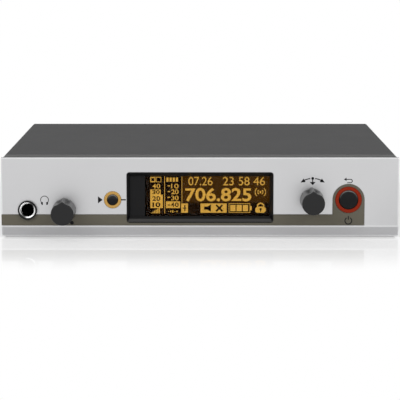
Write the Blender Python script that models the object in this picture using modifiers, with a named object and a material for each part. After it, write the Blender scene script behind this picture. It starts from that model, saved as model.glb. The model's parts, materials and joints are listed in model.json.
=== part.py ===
"""Half-rack wireless receiver, one rack unit high, in metres with +Z up.

The faceplate looks along -Y. The origin is on the surface that the receiver stands on, under the
middle of its overall box. Pieces are placed from five datums: the outer faces of the faceplate, the
rear panel and the cover's two sides, and the floor. On a face datum, x runs to the right, y up and z
outwards.
"""
import math

import bmesh
import bpy
from mathutils import Matrix

# Overall size
PANEL_WIDTH = 0.212
PANEL_HEIGHT = 0.0423
PANEL_THICKNESS = 0.0024
BODY_DEPTH = 0.176
KNOB_PROUD = 0.016
ANTENNA_PROUD = 0.010
FOOT_STANDOFF = 0.0008

# Clearances, and how far cutters and joined shapes run into each other
SEAT_GAP = 0.0003
FIT_GAP = 0.00015
TURN_GAP = 0.0001
CUT_MARGIN = 0.002
JOIN_LAP = 0.0005

# Sides of round pieces
FINE_SIDES = 48
ROUND_SIDES = 24
SMALL_SIDES = 12
KNOB_SIDES = 36
CORNER_STEPS = 4

# Sheet metal case
SHEET = 0.001
COVER_INSET = 0.0006
COVER_RISE = 0.0003
COVER_BEND = 0.0015
TRAY_RISE = 0.0007
TRAY_LIP = 0.016
REAR_LIP = 0.0055
REAR_LIP_MARGIN = 0.012
REAR_THICKNESS = 0.0012

# Faceplate, its bevelled lower ledge and the inlaid band
TOP_CHAMFER = 0.0005
LEDGE_HEIGHT = 0.0052
LEDGE_SETBACK = 0.0014
LEDGE_LIP = 0.0006
BAND_BOTTOM = 0.00595
BAND_HEIGHT = 0.0058
BAND_THICKNESS = 0.0005
ARCH_RADIUS = 0.00845

# Frame behind the faceplate
FRAME_INSET = 0.0005
FRAME_DEPTH = 0.0073
FRAME_WALL = 0.0022
TONGUE_DEPTH = 0.0045

# Places of the controls on the faceplate
LOWER_ROW = 0.0142
UPPER_ROW = 0.0197
PHONES_FROM_EDGE = 0.014
VOLUME_FROM_PHONES = 0.0196
SYNC_FROM_BEZEL = 0.0076
POWER_FROM_EDGE = 0.0268
JOG_FROM_POWER = 0.0196

# Display
BEZEL_WIDTH = 0.078
BEZEL_BOTTOM = 0.00745
BEZEL_TOP_MARGIN = 0.00795
BEZEL_CORNER = 0.0013
BEZEL_PROUD = 0.0003
BEZEL_LIP = 0.0004
BEZEL_DEPTH = 0.0056
BEZEL_FLANGE = 0.0012
BEZEL_FLANGE_THICKNESS = 0.0015
FUNNEL_DEPTH = 0.0024
FUNNEL_SIDE = 0.0013
FUNNEL_TOP = 0.0018
FUNNEL_BOTTOM = 0.0027
LAND_WIDTH = 0.0079
LENS_THICKNESS = 0.0014
LENS_RECESS = 0.0002
GLASS_THICKNESS = 0.0018

# Rotary controls
SHAFT_RADIUS = 0.003
BUSH_RADIUS = 0.0038
BUSH_OVER_NUT = 0.0003
NUT_RADIUS = 0.0051
NUT_THICKNESS = 0.0016
CONTROL_WIDTH = 0.012
CONTROL_DEPTH = 0.0078
SHAFT_SEAT = 0.003
PLUNGER_THICKNESS = 0.0012
JOG_TRAVEL = 0.0005
KNOB_LIFT = 0.001
KNOB_BASE_RADIUS = 0.0063
KNOB_FRONT_RADIUS = 0.00595
KNOB_WALL = 0.0007
KNOB_CAP = 0.0035
KNOB_ROUND = 0.0004
KNOB_ROUND_STEP = 0.3
POINTER_RISE = 0.0004
POINTER_BASE_RISE = 0.0003
POINTER_HALF_ANGLE = math.radians(42)
SCOOP_DEPTH = 0.0009
SCOOP_BASE_DEPTH = 0.0004

# Push buttons and their lit rings
RING_PROUD = 0.0004
RING_BACK = 0.0095
RING_FLANGE = 0.0009
RING_FLANGE_THICKNESS = 0.001
BUTTON_GAP = 0.0002
BUTTON_PROUD = 0.0007
BUTTON_ROUND = 0.0004
BUTTON_HEAD = 0.0045
BUTTON_TRAVEL = 0.0006
STEM_RADIUS = 0.0016
STEM_ENTRY = 0.0008
SWITCH_WIDTH = 0.0066
SWITCH_DEPTH = 0.0036
SYNC_RING_OUTER = 0.0045
SYNC_RING_INNER = 0.003
POWER_RING_OUTER = 0.007
POWER_RING_INNER = 0.0052

# Jack sockets, used at the front and at the back
JACK_BORE_RADIUS = 0.0032
JACK_MOUTH = 0.0007
FERRULE_RADIUS = 0.0043
FERRULE_BACK = 0.003
FERRULE_RECESS = 0.0002
JACK_NUT_RADIUS = 0.0051
JACK_NUT_PROUD = 0.0014
JACK_BODY_WIDTH = 0.015
JACK_BODY_DEPTH = 0.028
JACK_BODY_FLOOR = 0.0015

# Boards, shields and ribbon
BOARD_THICKNESS = 0.0016
BOARD_MARGIN = 0.003
STANDOFF_HEIGHT = 0.005
STANDOFF_RADIUS = 0.003
STANDOFF_INSET = 0.008
REAR_CLEARANCE = 0.0075
SHIELD_WIDTH = 0.046
SHIELD_DEPTH = 0.066
SHIELD_HEIGHT = 0.013
SHIELD_WALL = 0.0008
SHIELD_INSET = 0.004
SHIELD_FROM_FRONT = 0.030
RIBBON_WIDTH = 0.026
RIBBON_THICKNESS = 0.0008
RIBBON_TOP = 0.024
RIBBON_REACH = 0.026
RIBBON_BEND = 0.006

# Screws
SIDE_SCREW_HEAD = 0.0036
SIDE_SCREW_SINK = 0.0001
SIDE_SCREW_CONE = 0.0017
SIDE_SCREW_SHANK = 0.0019
SIDE_SCREW_LENGTH = 0.008
SIDE_SCREW_HEIGHT = 0.0105
SIDE_SCREW_DEPTHS = (0.034, 0.108)
PAN_HEAD_RADIUS = 0.0026
PAN_HEAD_HEIGHT = 0.0014
PAN_CROWN_RADIUS = 0.0018
PAN_CROWN_DROP = 0.0006
PAN_SHANK_RADIUS = 0.0013
PAN_SHANK_LENGTH = 0.0055
REAR_SCREW_HEIGHT = 0.005
REAR_SCREW_FROM_EDGE = 0.0185

# Feet
FOOT_RADIUS = 0.006
FOOT_INSET = 0.014

# Rear connectors, placed from the edges of the rear panel
REAR_ROW = 0.0215
ANTENNA_FROM_EDGE = 0.0135
ANTENNA_SHELL = 0.0048
ANTENNA_CAVITY = 0.0041
ANTENNA_POST = 0.0024
ANTENNA_CAVITY_DEPTH = 0.008
ANTENNA_POST_RECESS = 0.0012
ANTENNA_THREAD = 0.0062
ANTENNA_THREAD_PROUD = 0.0032
ANTENNA_BODY_RADIUS = 0.0075
ANTENNA_BODY_DEPTH = 0.008
ANTENNA_NUT_RADIUS = 0.0085
ANTENNA_NUT_THICKNESS = 0.002
LUG_RADIUS = 0.0009
LUG_REACH = 0.0009
LUG_FROM_TIP = 0.0025
XLR_FROM_EDGE = 0.048
XLR_FLANGE_WIDTH = 0.026
XLR_FLANGE_HEIGHT = 0.031
XLR_FLANGE_THICKNESS = 0.0016
XLR_CORNER = 0.002
XLR_CUP_RADIUS = 0.0118
XLR_CAVITY_RADIUS = 0.0082
XLR_CUP_DEPTH = 0.018
XLR_CUP_FLOOR = 0.001
XLR_INSERT_THICKNESS = 0.003
XLR_PIN_RADIUS = 0.0012
XLR_PIN_NOSE = 0.0007
XLR_PIN_ANGLES = (150, 30, 270)
XLR_PIN_CIRCLE = 0.0038
XLR_PIN_RECESS = 0.0048
XLR_SCREW_X = 0.0095
XLR_SCREW_Y = 0.012
LINE_OUT_FROM_XLR = 0.028
NETWORK_FROM_LINE_OUT = 0.026
NETWORK_WIDTH = 0.016
NETWORK_HEIGHT = 0.0134
NETWORK_DEPTH = 0.020
NETWORK_PROUD = 0.0004
PORT_WIDTH = 0.0117
PORT_HEIGHT = 0.0072
PORT_DEPTH = 0.013
PORT_LIFT = 0.0042
PORT_KEY_WIDTH = 0.006
PORT_KEY_HEIGHT = 0.0022
POWER_IN_FROM_NETWORK = 0.034
POWER_IN_FLANGE = 0.0058
POWER_IN_FLANGE_PROUD = 0.0018
POWER_IN_BODY = 0.0046
POWER_IN_BORE = 0.0031
POWER_IN_PIN = 0.00105
POWER_IN_DEPTH = 0.012
POWER_IN_FLOOR = 0.0025
POWER_IN_PIN_RECESS = 0.0012

# Positions worked out from the sizes above
OVERALL_DEPTH = KNOB_PROUD + BODY_DEPTH + ANTENNA_PROUD
FACE_Y = KNOB_PROUD - OVERALL_DEPTH / 2
REAR_Y = FACE_Y + BODY_DEPTH
COVER_HALF = PANEL_WIDTH / 2 - COVER_INSET
COVER_TOP = PANEL_HEIGHT + COVER_RISE
COVER_INSIDE_HALF = COVER_HALF - SHEET
COVER_INSIDE_TOP = COVER_TOP - SHEET
INNER_HALF = COVER_INSIDE_HALF - SEAT_GAP
INNER_TOP = COVER_INSIDE_TOP - SEAT_GAP
TRAY_TOP = TRAY_RISE + SHEET
INNER_BOTTOM = TRAY_TOP + SEAT_GAP
PANEL_BACK = -PANEL_THICKNESS - SEAT_GAP
FRAME_BACK = PANEL_BACK - FRAME_DEPTH
COVER_FRONT = FRAME_BACK - SEAT_GAP
TONGUE_BACK = FRAME_BACK - TONGUE_DEPTH
BOARD_FRONT = TONGUE_BACK - SEAT_GAP
BOARD_BACK = BOARD_FRONT - BOARD_THICKNESS
BOARD_SEAT = BOARD_FRONT + SEAT_GAP
REAR_INSIDE = -REAR_THICKNESS - SEAT_GAP

PHONES_X = PHONES_FROM_EDGE - PANEL_WIDTH / 2
VOLUME_X = PHONES_X + VOLUME_FROM_PHONES
SYNC_X = -BEZEL_WIDTH / 2 - SYNC_FROM_BEZEL
POWER_X = PANEL_WIDTH / 2 - POWER_FROM_EDGE
JOG_X = POWER_X - JOG_FROM_POWER
BAND_TOP = BAND_BOTTOM + BAND_HEIGHT
BEZEL_TOP = PANEL_HEIGHT - BEZEL_TOP_MARGIN
WINDOW_FLOOR = BEZEL_PROUD - FUNNEL_DEPTH
WINDOW_LEFT = -BEZEL_WIDTH / 2 + BEZEL_LIP + FUNNEL_SIDE + LAND_WIDTH
WINDOW_RIGHT = BEZEL_WIDTH / 2 - BEZEL_LIP - FUNNEL_SIDE
WINDOW_BOTTOM = BEZEL_BOTTOM + BEZEL_LIP + FUNNEL_BOTTOM
WINDOW_TOP = BEZEL_TOP - BEZEL_LIP - FUNNEL_TOP
LENS_FRONT = WINDOW_FLOOR - LENS_RECESS
GLASS_FRONT = LENS_FRONT - LENS_THICKNESS - SEAT_GAP
BACKLIGHT_FRONT = GLASS_FRONT - GLASS_THICKNESS - SEAT_GAP

NUT_TOP = SEAT_GAP + NUT_THICKNESS
BUSH_TOP = NUT_TOP + BUSH_OVER_NUT
BUSH_HOLE = BUSH_RADIUS + FIT_GAP
CONTROL_FRONT = BOARD_SEAT + CONTROL_DEPTH
SHAFT_END = CONTROL_FRONT - SHAFT_SEAT
SHAFT_TOP = KNOB_PROUD - KNOB_CAP - SEAT_GAP
PLUNGER_TOP = SHAFT_END - SEAT_GAP
PLUNGER_END = PLUNGER_TOP - PLUNGER_THICKNESS
SWITCH_FRONT = BOARD_SEAT + SWITCH_DEPTH
STEM_END = SWITCH_FRONT - STEM_ENTRY
MAIN_BOARD_BOTTOM = TRAY_TOP + STANDOFF_HEIGHT + SEAT_GAP
MAIN_BOARD_TOP = MAIN_BOARD_BOTTOM + BOARD_THICKNESS
MAIN_BOARD_SEAT = MAIN_BOARD_TOP + SEAT_GAP
MAIN_BOARD_FRONT = PANEL_BACK - JACK_BODY_DEPTH - BOARD_MARGIN
MAIN_BOARD_BACK = REAR_CLEARANCE - BODY_DEPTH
MAIN_BOARD_HALF = INNER_HALF - SHEET - BOARD_MARGIN

ANTENNA_X = INNER_HALF - ANTENNA_FROM_EDGE
XLR_X = XLR_FROM_EDGE - INNER_HALF
LINE_OUT_X = XLR_X + LINE_OUT_FROM_XLR
NETWORK_X = LINE_OUT_X + NETWORK_FROM_LINE_OUT
POWER_IN_X = NETWORK_X + POWER_IN_FROM_NETWORK
XLR_TOP = SEAT_GAP + XLR_FLANGE_THICKNESS
XLR_CUP_END = XLR_TOP - XLR_CUP_DEPTH
XLR_INSERT_BACK = XLR_CUP_END + XLR_CUP_FLOOR + SEAT_GAP
REAR_SCREW_X = INNER_HALF - REAR_SCREW_FROM_EDGE

# Finishes: colour, roughness and metallic value
FINISHES = {
    "satin_aluminium": ((0.61, 0.61, 0.62), 0.38, 0.9),
    "olive_inlay": ((0.13, 0.12, 0.093), 0.5, 0.0),
    "painted_steel": ((0.09, 0.09, 0.09), 0.55, 0.0),
    "plated_steel": ((0.55, 0.55, 0.54), 0.35, 1.0),
    "dark_plastic": ((0.05, 0.05, 0.05), 0.5, 0.0),
    "black_plastic": ((0.013, 0.013, 0.013), 0.45, 0.0),
    "soft_knob": ((0.031, 0.031, 0.031), 0.6, 0.0),
    "smoked_lens": ((0.01, 0.01, 0.01), 0.08, 0.0),
    "display_glass": ((0.02, 0.012, 0.004), 0.2, 0.0),
    "chrome": ((0.8, 0.8, 0.8), 0.12, 1.0),
    "brass": ((0.62, 0.45, 0.2), 0.3, 1.0),
    "amber_guide": ((0.58, 0.33, 0.07), 0.35, 0.0),
    "red_guide": ((0.3, 0.021, 0.007), 0.35, 0.0),
    "green_board": ((0.03, 0.12, 0.05), 0.5, 0.0),
    "grey_ribbon": ((0.35, 0.35, 0.35), 0.6, 0.0),
    "rubber": ((0.02, 0.02, 0.02), 0.85, 0.0),
}

# Turns an outline drawn in the (z, y) plane of a datum so that it is extruded along x
SIDEWAYS = Matrix(((0, 0, -1, 0), (0, 1, 0, 0), (1, 0, 0, 0), (0, 0, 0, 1)))


def clear_scene():
    for item in list(bpy.data.objects):
        bpy.data.objects.remove(item, do_unlink=True)


def new_collection(name):
    group = bpy.data.collections.new(name)
    bpy.context.scene.collection.children.link(group)
    return group


def finish_material(name):
    found = bpy.data.materials.get(name)
    if found:
        return found
    colour, roughness, metallic = FINISHES[name]
    material = bpy.data.materials.new(name)
    material.use_nodes = True
    shader = material.node_tree.nodes["Principled BSDF"]
    shader.inputs["Base Color"].default_value = (*colour, 1)
    shader.inputs["Roughness"].default_value = roughness
    shader.inputs["Metallic"].default_value = metallic
    return material


clear_scene()
PARTS = new_collection("wireless_receiver")
CUTTERS = new_collection("cutters")


def datum(name, location, turn=(0, 0, 0)):
    empty = bpy.data.objects.new(name, None)
    empty.location = location
    empty.rotation_euler = [math.radians(angle) for angle in turn]
    PARTS.objects.link(empty)
    return empty


FRONT = datum("front_datum", (0, FACE_Y, FOOT_STANDOFF), (90, 0, 0))
REAR = datum("rear_datum", (0, REAR_Y, FOOT_STANDOFF), (90, 0, 180))
LEFT = datum("left_datum", (-COVER_HALF, FACE_Y, FOOT_STANDOFF), (90, 0, -90))
RIGHT = datum("right_datum", (COVER_HALF, FACE_Y, FOOT_STANDOFF), (90, 0, 90))
FLOOR = datum("floor_datum", (0, 0, 0))


def place(name, mesh, parent, location, finish):
    """A part takes a finish; a cutter or a shape to join has none."""
    piece = bpy.data.objects.new(name, mesh)
    piece.parent = parent
    piece.location = location
    if finish:
        mesh.materials.append(finish_material(finish))
        PARTS.objects.link(piece)
    else:
        CUTTERS.objects.link(piece)
        piece.hide_render = True
        piece.display_type = "WIRE"
    return piece


def mesh_from(name, builder):
    mesh = bpy.data.meshes.new(name)
    work = bmesh.new()
    builder(work)
    work.to_mesh(mesh)
    work.free()
    mesh.shade_smooth()
    mesh.set_sharp_from_angle(angle=math.radians(35))
    return mesh


def block(name, low, high, parent, finish=None):
    size = [b - a for a, b in zip(low, high)]
    centre = [(a + b) / 2 for a, b in zip(low, high)]

    def build(work):
        bmesh.ops.create_cube(work, size=1, matrix=Matrix.Diagonal((*size, 1)))

    return place(name, mesh_from(name, build), parent, centre, finish)


def rod(name, radius, low, high, at, parent, finish=None, sides=ROUND_SIDES):
    def build(work):
        bmesh.ops.create_cone(
            work, cap_ends=True, segments=sides, radius1=radius, radius2=radius, depth=high - low,
            matrix=Matrix.Translation((0, 0, (low + high) / 2)))

    return place(name, mesh_from(name, build), parent, (*at, 0), finish)


def turned(name, profile, at, parent, finish=None, sides=ROUND_SIDES, closed=False):
    """Turns a profile of (radius, height) points about the axis through `at`."""
    points = [(radius, 0, height) for radius, height in profile]
    edges = [(i, i + 1) for i in range(len(points) - 1)]
    if closed:
        edges.append((len(points) - 1, 0))
    mesh = bpy.data.meshes.new(name)
    mesh.from_pydata(points, edges, [])
    piece = place(name, mesh, parent, (*at, 0), finish)
    screw = piece.modifiers.new("turn", "SCREW")
    screw.axis = "Z"
    screw.steps = sides
    screw.render_steps = sides
    screw.use_merge_vertices = True
    screw.merge_threshold = 0.00001
    return piece


def outline_mesh(name, outlines, low, high):
    """Fills the first outline less the others, between two heights."""
    curve = bpy.data.curves.new(name, "CURVE")
    curve.dimensions = "2D"
    curve.fill_mode = "BOTH"
    curve.extrude = (high - low) / 2
    for outline in outlines:
        spline = curve.splines.new("POLY")
        spline.points.add(len(outline) - 1)
        for point, (x, y) in zip(spline.points, outline):
            point.co = (x, y, 0, 1)
        spline.use_cyclic_u = True
    source = bpy.data.objects.new(name, curve)
    CUTTERS.objects.link(source)
    filled = bpy.data.meshes.new_from_object(source.evaluated_get(bpy.context.evaluated_depsgraph_get()))
    bpy.data.objects.remove(source)

    def build(work):
        work.from_mesh(filled)
        bmesh.ops.remove_doubles(work, verts=work.verts, dist=0.000001)
        bmesh.ops.translate(work, verts=work.verts, vec=(0, 0, (low + high) / 2))
        bmesh.ops.recalc_face_normals(work, faces=work.faces)

    return mesh_from(name, build)


def plate(name, outlines, low, high, parent, finish=None):
    return place(name, outline_mesh(name, outlines, low, high), parent, (0, 0, 0), finish)


def bar(name, outline, half_width, x, parent, finish=None):
    """An outline of (z, y) points extruded along x."""
    mesh = outline_mesh(name, [outline], -half_width, half_width)
    mesh.transform(SIDEWAYS)
    return place(name, mesh, parent, (x, 0, 0), finish)


def boolean(piece, tools, operation):
    for tool in tools:
        modifier = piece.modifiers.new(tool.name, "BOOLEAN")
        modifier.operation = operation
        modifier.solver = "EXACT"
        modifier.object = tool


def cut(piece, *tools):
    boolean(piece, tools, "DIFFERENCE")


def join(piece, *tools):
    boolean(piece, tools, "UNION")


def arc(x, y, radius, start, end, steps):
    """Points on an arc, with its angles in degrees."""
    angles = [math.radians(start + (end - start) * i / steps) for i in range(steps + 1)]
    return [(x + radius * math.cos(a), y + radius * math.sin(a)) for a in angles]


def circle(x, y, radius, sides=ROUND_SIDES):
    return arc(x, y, radius, 0, 360, sides)[:-1]


def rectangle(left, bottom, right, top):
    return [(left, bottom), (right, bottom), (right, top), (left, top)]


def rounded_rectangle(left, bottom, right, top, radius):
    return [
        *arc(right - radius, top - radius, radius, 0, 90, CORNER_STEPS),
        *arc(left + radius, top - radius, radius, 90, 180, CORNER_STEPS),
        *arc(left + radius, bottom + radius, radius, 180, 270, CORNER_STEPS),
        *arc(right - radius, bottom + radius, radius, 270, 360, CORNER_STEPS),
    ]


def tube_profile(inner, outer, low, high):
    return [(outer, high), (outer, low), (inner, low), (inner, high)]


# Faceplate with its inlay

def band_outline(grow, left):
    """The inlaid band with the arch round the power button, grown by a gap on every side."""
    radius = ARCH_RADIUS + grow
    return [
        (left, BAND_BOTTOM - grow),
        (POWER_X + radius, BAND_BOTTOM - grow),
        *arc(POWER_X, UPPER_ROW, radius, 0, 180, FINE_SIDES // 2),
        (POWER_X - radius, BAND_TOP + grow),
        (left, BAND_TOP + grow),
    ]


def panel_cutters():
    low = -PANEL_THICKNESS - CUT_MARGIN
    high = CUT_MARGIN

    def hole(name, radius, x, y):
        return rod(f"{name}_hole", radius, low, high, (x, y), FRONT)

    bezel_opening = rounded_rectangle(
        -BEZEL_WIDTH / 2 - FIT_GAP, BEZEL_BOTTOM - FIT_GAP, BEZEL_WIDTH / 2 + FIT_GAP, BEZEL_TOP + FIT_GAP,
        BEZEL_CORNER + FIT_GAP)
    return [
        hole("phones", FERRULE_RADIUS + FIT_GAP, PHONES_X, LOWER_ROW),
        hole("volume", BUSH_HOLE, VOLUME_X, LOWER_ROW),
        hole("sync", SYNC_RING_OUTER + FIT_GAP, SYNC_X, UPPER_ROW),
        hole("jog", BUSH_HOLE, JOG_X, UPPER_ROW),
        hole("power", POWER_RING_OUTER + FIT_GAP, POWER_X, UPPER_ROW),
        plate("bezel_opening", [bezel_opening], low, high, FRONT),
    ]


def make_faceplate():
    profile = [
        (0, LEDGE_HEIGHT),
        (0, PANEL_HEIGHT - TOP_CHAMFER),
        (-TOP_CHAMFER, PANEL_HEIGHT),
        (-PANEL_THICKNESS, PANEL_HEIGHT),
        (-PANEL_THICKNESS, 0),
        (-LEDGE_SETBACK, 0),
        (-LEDGE_SETBACK, LEDGE_LIP),
    ]
    faceplate = bar("faceplate", profile, PANEL_WIDTH / 2, 0, FRONT, "satin_aluminium")
    pocket_floor = -BAND_THICKNESS - SEAT_GAP
    pocket = plate(
        "band_pocket", [band_outline(FIT_GAP, -PANEL_WIDTH / 2 - CUT_MARGIN)], pocket_floor, CUT_MARGIN, FRONT)
    holes = panel_cutters()
    cut(faceplate, pocket, *holes)
    band = plate(
        "inlay_band", [band_outline(0, -PANEL_WIDTH / 2)], -BAND_THICKNESS, 0, FRONT, "olive_inlay")
    cut(band, *holes)


def make_front_frame():
    half = PANEL_WIDTH / 2 - FRAME_INSET
    inside = rectangle(
        -INNER_HALF + FRAME_WALL, INNER_BOTTOM + FRAME_WALL, INNER_HALF - FRAME_WALL, INNER_TOP - FRAME_WALL)
    frame = plate(
        "front_frame", [rectangle(-half, FRAME_INSET, half, PANEL_HEIGHT - FRAME_INSET), inside],
        FRAME_BACK, PANEL_BACK, FRONT, "dark_plastic")
    tongue = plate(
        "frame_tongue", [rectangle(-INNER_HALF, INNER_BOTTOM, INNER_HALF, INNER_TOP), inside],
        TONGUE_BACK, FRAME_BACK + JOIN_LAP, FRONT)
    join(frame, tongue)


# Sheet metal case

def make_side_screws(cover, tray):
    """Countersunk screws hold the cover to the tray, and rack brackets in their place."""
    def cone_and_shank(grow):
        shank = SIDE_SCREW_SHANK + grow
        tip = -SIDE_SCREW_LENGTH - grow
        return [
            (SIDE_SCREW_HEAD + grow, -SIDE_SCREW_SINK), (shank, -SIDE_SCREW_SINK - SIDE_SCREW_CONE),
            (shank, tip), (0, tip),
        ]

    screw = [(0, -SIDE_SCREW_SINK), *cone_and_shank(0)]
    hole = [(0, CUT_MARGIN), (SIDE_SCREW_HEAD + FIT_GAP, CUT_MARGIN), *cone_and_shank(FIT_GAP)]

    for side, parent, sign in (("left", LEFT, -1), ("right", RIGHT, 1)):
        for order, depth in zip(("front", "rear"), SIDE_SCREW_DEPTHS):
            at = (sign * depth, SIDE_SCREW_HEIGHT)
            turned(f"side_screw_{side}_{order}", screw, at, parent, "plated_steel", SMALL_SIDES)
            cutter = turned(f"side_hole_{side}_{order}", hole, at, parent, sides=SMALL_SIDES)
            cut(cover, cutter)
            cut(tray, cutter)


def make_cover():
    bend = COVER_BEND
    inner_bend = COVER_BEND - SHEET
    edge = COVER_HALF - bend
    crown = COVER_TOP - bend
    outline = [
        (COVER_HALF, TRAY_RISE),
        *arc(edge, crown, bend, 0, 90, CORNER_STEPS),
        *arc(-edge, crown, bend, 90, 180, CORNER_STEPS),
        (-COVER_HALF, TRAY_RISE),
        (-COVER_INSIDE_HALF, TRAY_RISE),
        *arc(-edge, crown, inner_bend, 180, 90, CORNER_STEPS),
        *arc(edge, crown, inner_bend, 90, 0, CORNER_STEPS),
        (COVER_INSIDE_HALF, TRAY_RISE),
    ]
    return plate("top_cover", [outline], -BODY_DEPTH, COVER_FRONT, FRONT, "painted_steel")


def standoff_places():
    back = MAIN_BOARD_BACK + STANDOFF_INSET
    front = MAIN_BOARD_FRONT - STANDOFF_INSET
    across = MAIN_BOARD_HALF - STANDOFF_INSET
    return [(x, FACE_Y - z) for x in (-across, across) for z in (front, back)]


def make_tray():
    lip_top = TRAY_TOP + TRAY_LIP
    outline = [
        (-INNER_HALF, TRAY_RISE), (INNER_HALF, TRAY_RISE), (INNER_HALF, lip_top),
        (INNER_HALF - SHEET, lip_top), (INNER_HALF - SHEET, TRAY_TOP), (SHEET - INNER_HALF, TRAY_TOP),
        (SHEET - INNER_HALF, lip_top), (-INNER_HALF, lip_top),
    ]
    tray = plate("base_tray", [outline], -BODY_DEPTH, COVER_FRONT, FRONT, "plated_steel")
    wide = INNER_HALF + CUT_MARGIN
    front_room = block(
        "front_lip_cut", (-wide, TRAY_TOP, BOARD_BACK - SEAT_GAP), (wide, lip_top + CUT_MARGIN, 0), FRONT)
    rear_room = block(
        "rear_lip_cut", (-wide, TRAY_TOP, REAR_INSIDE), (wide, lip_top + CUT_MARGIN, CUT_MARGIN), REAR)
    rear_half = INNER_HALF - REAR_LIP_MARGIN
    rear_lip = block(
        "rear_lip", (-rear_half, TRAY_TOP - JOIN_LAP, REAR_INSIDE - SHEET),
        (rear_half, TRAY_TOP + REAR_LIP, REAR_INSIDE), REAR)
    cut(tray, front_room, rear_room)
    low = FOOT_STANDOFF + TRAY_TOP - JOIN_LAP
    high = FOOT_STANDOFF + TRAY_TOP + STANDOFF_HEIGHT
    standoffs = [
        rod(f"standoff_{i}", STANDOFF_RADIUS, low, high, at, FLOOR, sides=SMALL_SIDES)
        for i, at in enumerate(standoff_places())
    ]
    join(tray, rear_lip, *standoffs)
    return tray


def make_rear_panel():
    outline = rectangle(-INNER_HALF, INNER_BOTTOM, INNER_HALF, INNER_TOP)
    holes = [circle(x, REAR_ROW, ANTENNA_THREAD + FIT_GAP) for x in (-ANTENNA_X, ANTENNA_X)]
    holes.append(circle(XLR_X, REAR_ROW, XLR_CUP_RADIUS + FIT_GAP))
    holes.append(circle(LINE_OUT_X, REAR_ROW, FERRULE_RADIUS + FIT_GAP))
    holes.append(circle(POWER_IN_X, REAR_ROW, POWER_IN_BODY + FIT_GAP))
    half_port = NETWORK_WIDTH / 2 + FIT_GAP
    holes.append(rectangle(
        NETWORK_X - half_port, MAIN_BOARD_SEAT - FIT_GAP, NETWORK_X + half_port,
        MAIN_BOARD_SEAT + NETWORK_HEIGHT + FIT_GAP))
    screw_hole = PAN_SHANK_RADIUS + FIT_GAP
    holes += [circle(x, REAR_SCREW_HEIGHT, screw_hole, SMALL_SIDES) for x in (-REAR_SCREW_X, REAR_SCREW_X)]
    holes += [circle(x, y, screw_hole, SMALL_SIDES) for x, y in xlr_screw_places()]
    plate("rear_panel", [outline, *holes], -REAR_THICKNESS, 0, REAR, "painted_steel")


def pan_screw(name, at, seat, parent):
    """A pan-head screw whose head sits on a surface at the height `seat`."""
    under = seat + SEAT_GAP
    top = under + PAN_HEAD_HEIGHT
    tip = under - PAN_SHANK_LENGTH
    profile = [
        (0, top), (PAN_CROWN_RADIUS, top), (PAN_HEAD_RADIUS, top - PAN_CROWN_DROP),
        (PAN_HEAD_RADIUS, under), (PAN_SHANK_RADIUS, under), (PAN_SHANK_RADIUS, tip), (0, tip),
    ]
    turned(name, profile, at, parent, "plated_steel", SMALL_SIDES)


def make_rear_screws(tray):
    for side, x in (("right", -REAR_SCREW_X), ("left", REAR_SCREW_X)):
        at = (x, REAR_SCREW_HEIGHT)
        pan_screw(f"rear_screw_{side}", at, 0, REAR)
        hole = rod(
            f"rear_screw_hole_{side}", PAN_SHANK_RADIUS + FIT_GAP, -PAN_SHANK_LENGTH - CUT_MARGIN, CUT_MARGIN,
            at, REAR, sides=SMALL_SIDES)
        cut(tray, hole)


def make_feet():
    across = INNER_HALF - FOOT_INSET
    front = FACE_Y - COVER_FRONT + FOOT_INSET
    back = REAR_Y - FOOT_INSET
    for side, x in (("left", -across), ("right", across)):
        for end, y in (("front", front), ("rear", back)):
            rod(
                f"foot_{end}_{side}", FOOT_RADIUS, 0, FOOT_STANDOFF + TRAY_RISE - SEAT_GAP, (x, y), FLOOR,
                "rubber")


# Display

def make_display():
    half = BEZEL_WIDTH / 2
    bezel = plate(
        "display_bezel", [rounded_rectangle(-half, BEZEL_BOTTOM, half, BEZEL_TOP, BEZEL_CORNER)],
        BEZEL_PROUD - BEZEL_DEPTH, BEZEL_PROUD, FRONT, "black_plastic")
    flange = plate(
        "bezel_flange",
        [rounded_rectangle(
            -half - BEZEL_FLANGE, BEZEL_BOTTOM - BEZEL_FLANGE, half + BEZEL_FLANGE, BEZEL_TOP + BEZEL_FLANGE,
            BEZEL_CORNER)],
        PANEL_BACK - BEZEL_FLANGE_THICKNESS, PANEL_BACK, FRONT)
    window = plate(
        "window_opening", [rectangle(WINDOW_LEFT, WINDOW_BOTTOM, WINDOW_RIGHT, WINDOW_TOP)],
        BEZEL_PROUD - BEZEL_DEPTH - CUT_MARGIN, WINDOW_FLOOR + JOIN_LAP, FRONT)
    join(bezel, flange)
    cut(bezel, make_funnel(), window)
    plate(
        "display_lens",
        [rectangle(WINDOW_LEFT + FIT_GAP, WINDOW_BOTTOM + FIT_GAP, WINDOW_RIGHT - FIT_GAP, WINDOW_TOP - FIT_GAP)],
        LENS_FRONT - LENS_THICKNESS, LENS_FRONT, FRONT, "smoked_lens")
    plate(
        "display_glass",
        [rectangle(WINDOW_LEFT + FIT_GAP, WINDOW_BOTTOM + FIT_GAP, WINDOW_RIGHT - FIT_GAP, WINDOW_TOP - FIT_GAP)],
        GLASS_FRONT - GLASS_THICKNESS, GLASS_FRONT, FRONT, "display_glass")
    block(
        "display_backlight", (WINDOW_LEFT + FIT_GAP, WINDOW_BOTTOM + FIT_GAP, BOARD_SEAT),
        (WINDOW_RIGHT - FIT_GAP, WINDOW_TOP - FIT_GAP, BACKLIGHT_FRONT), FRONT, "black_plastic")


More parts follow.
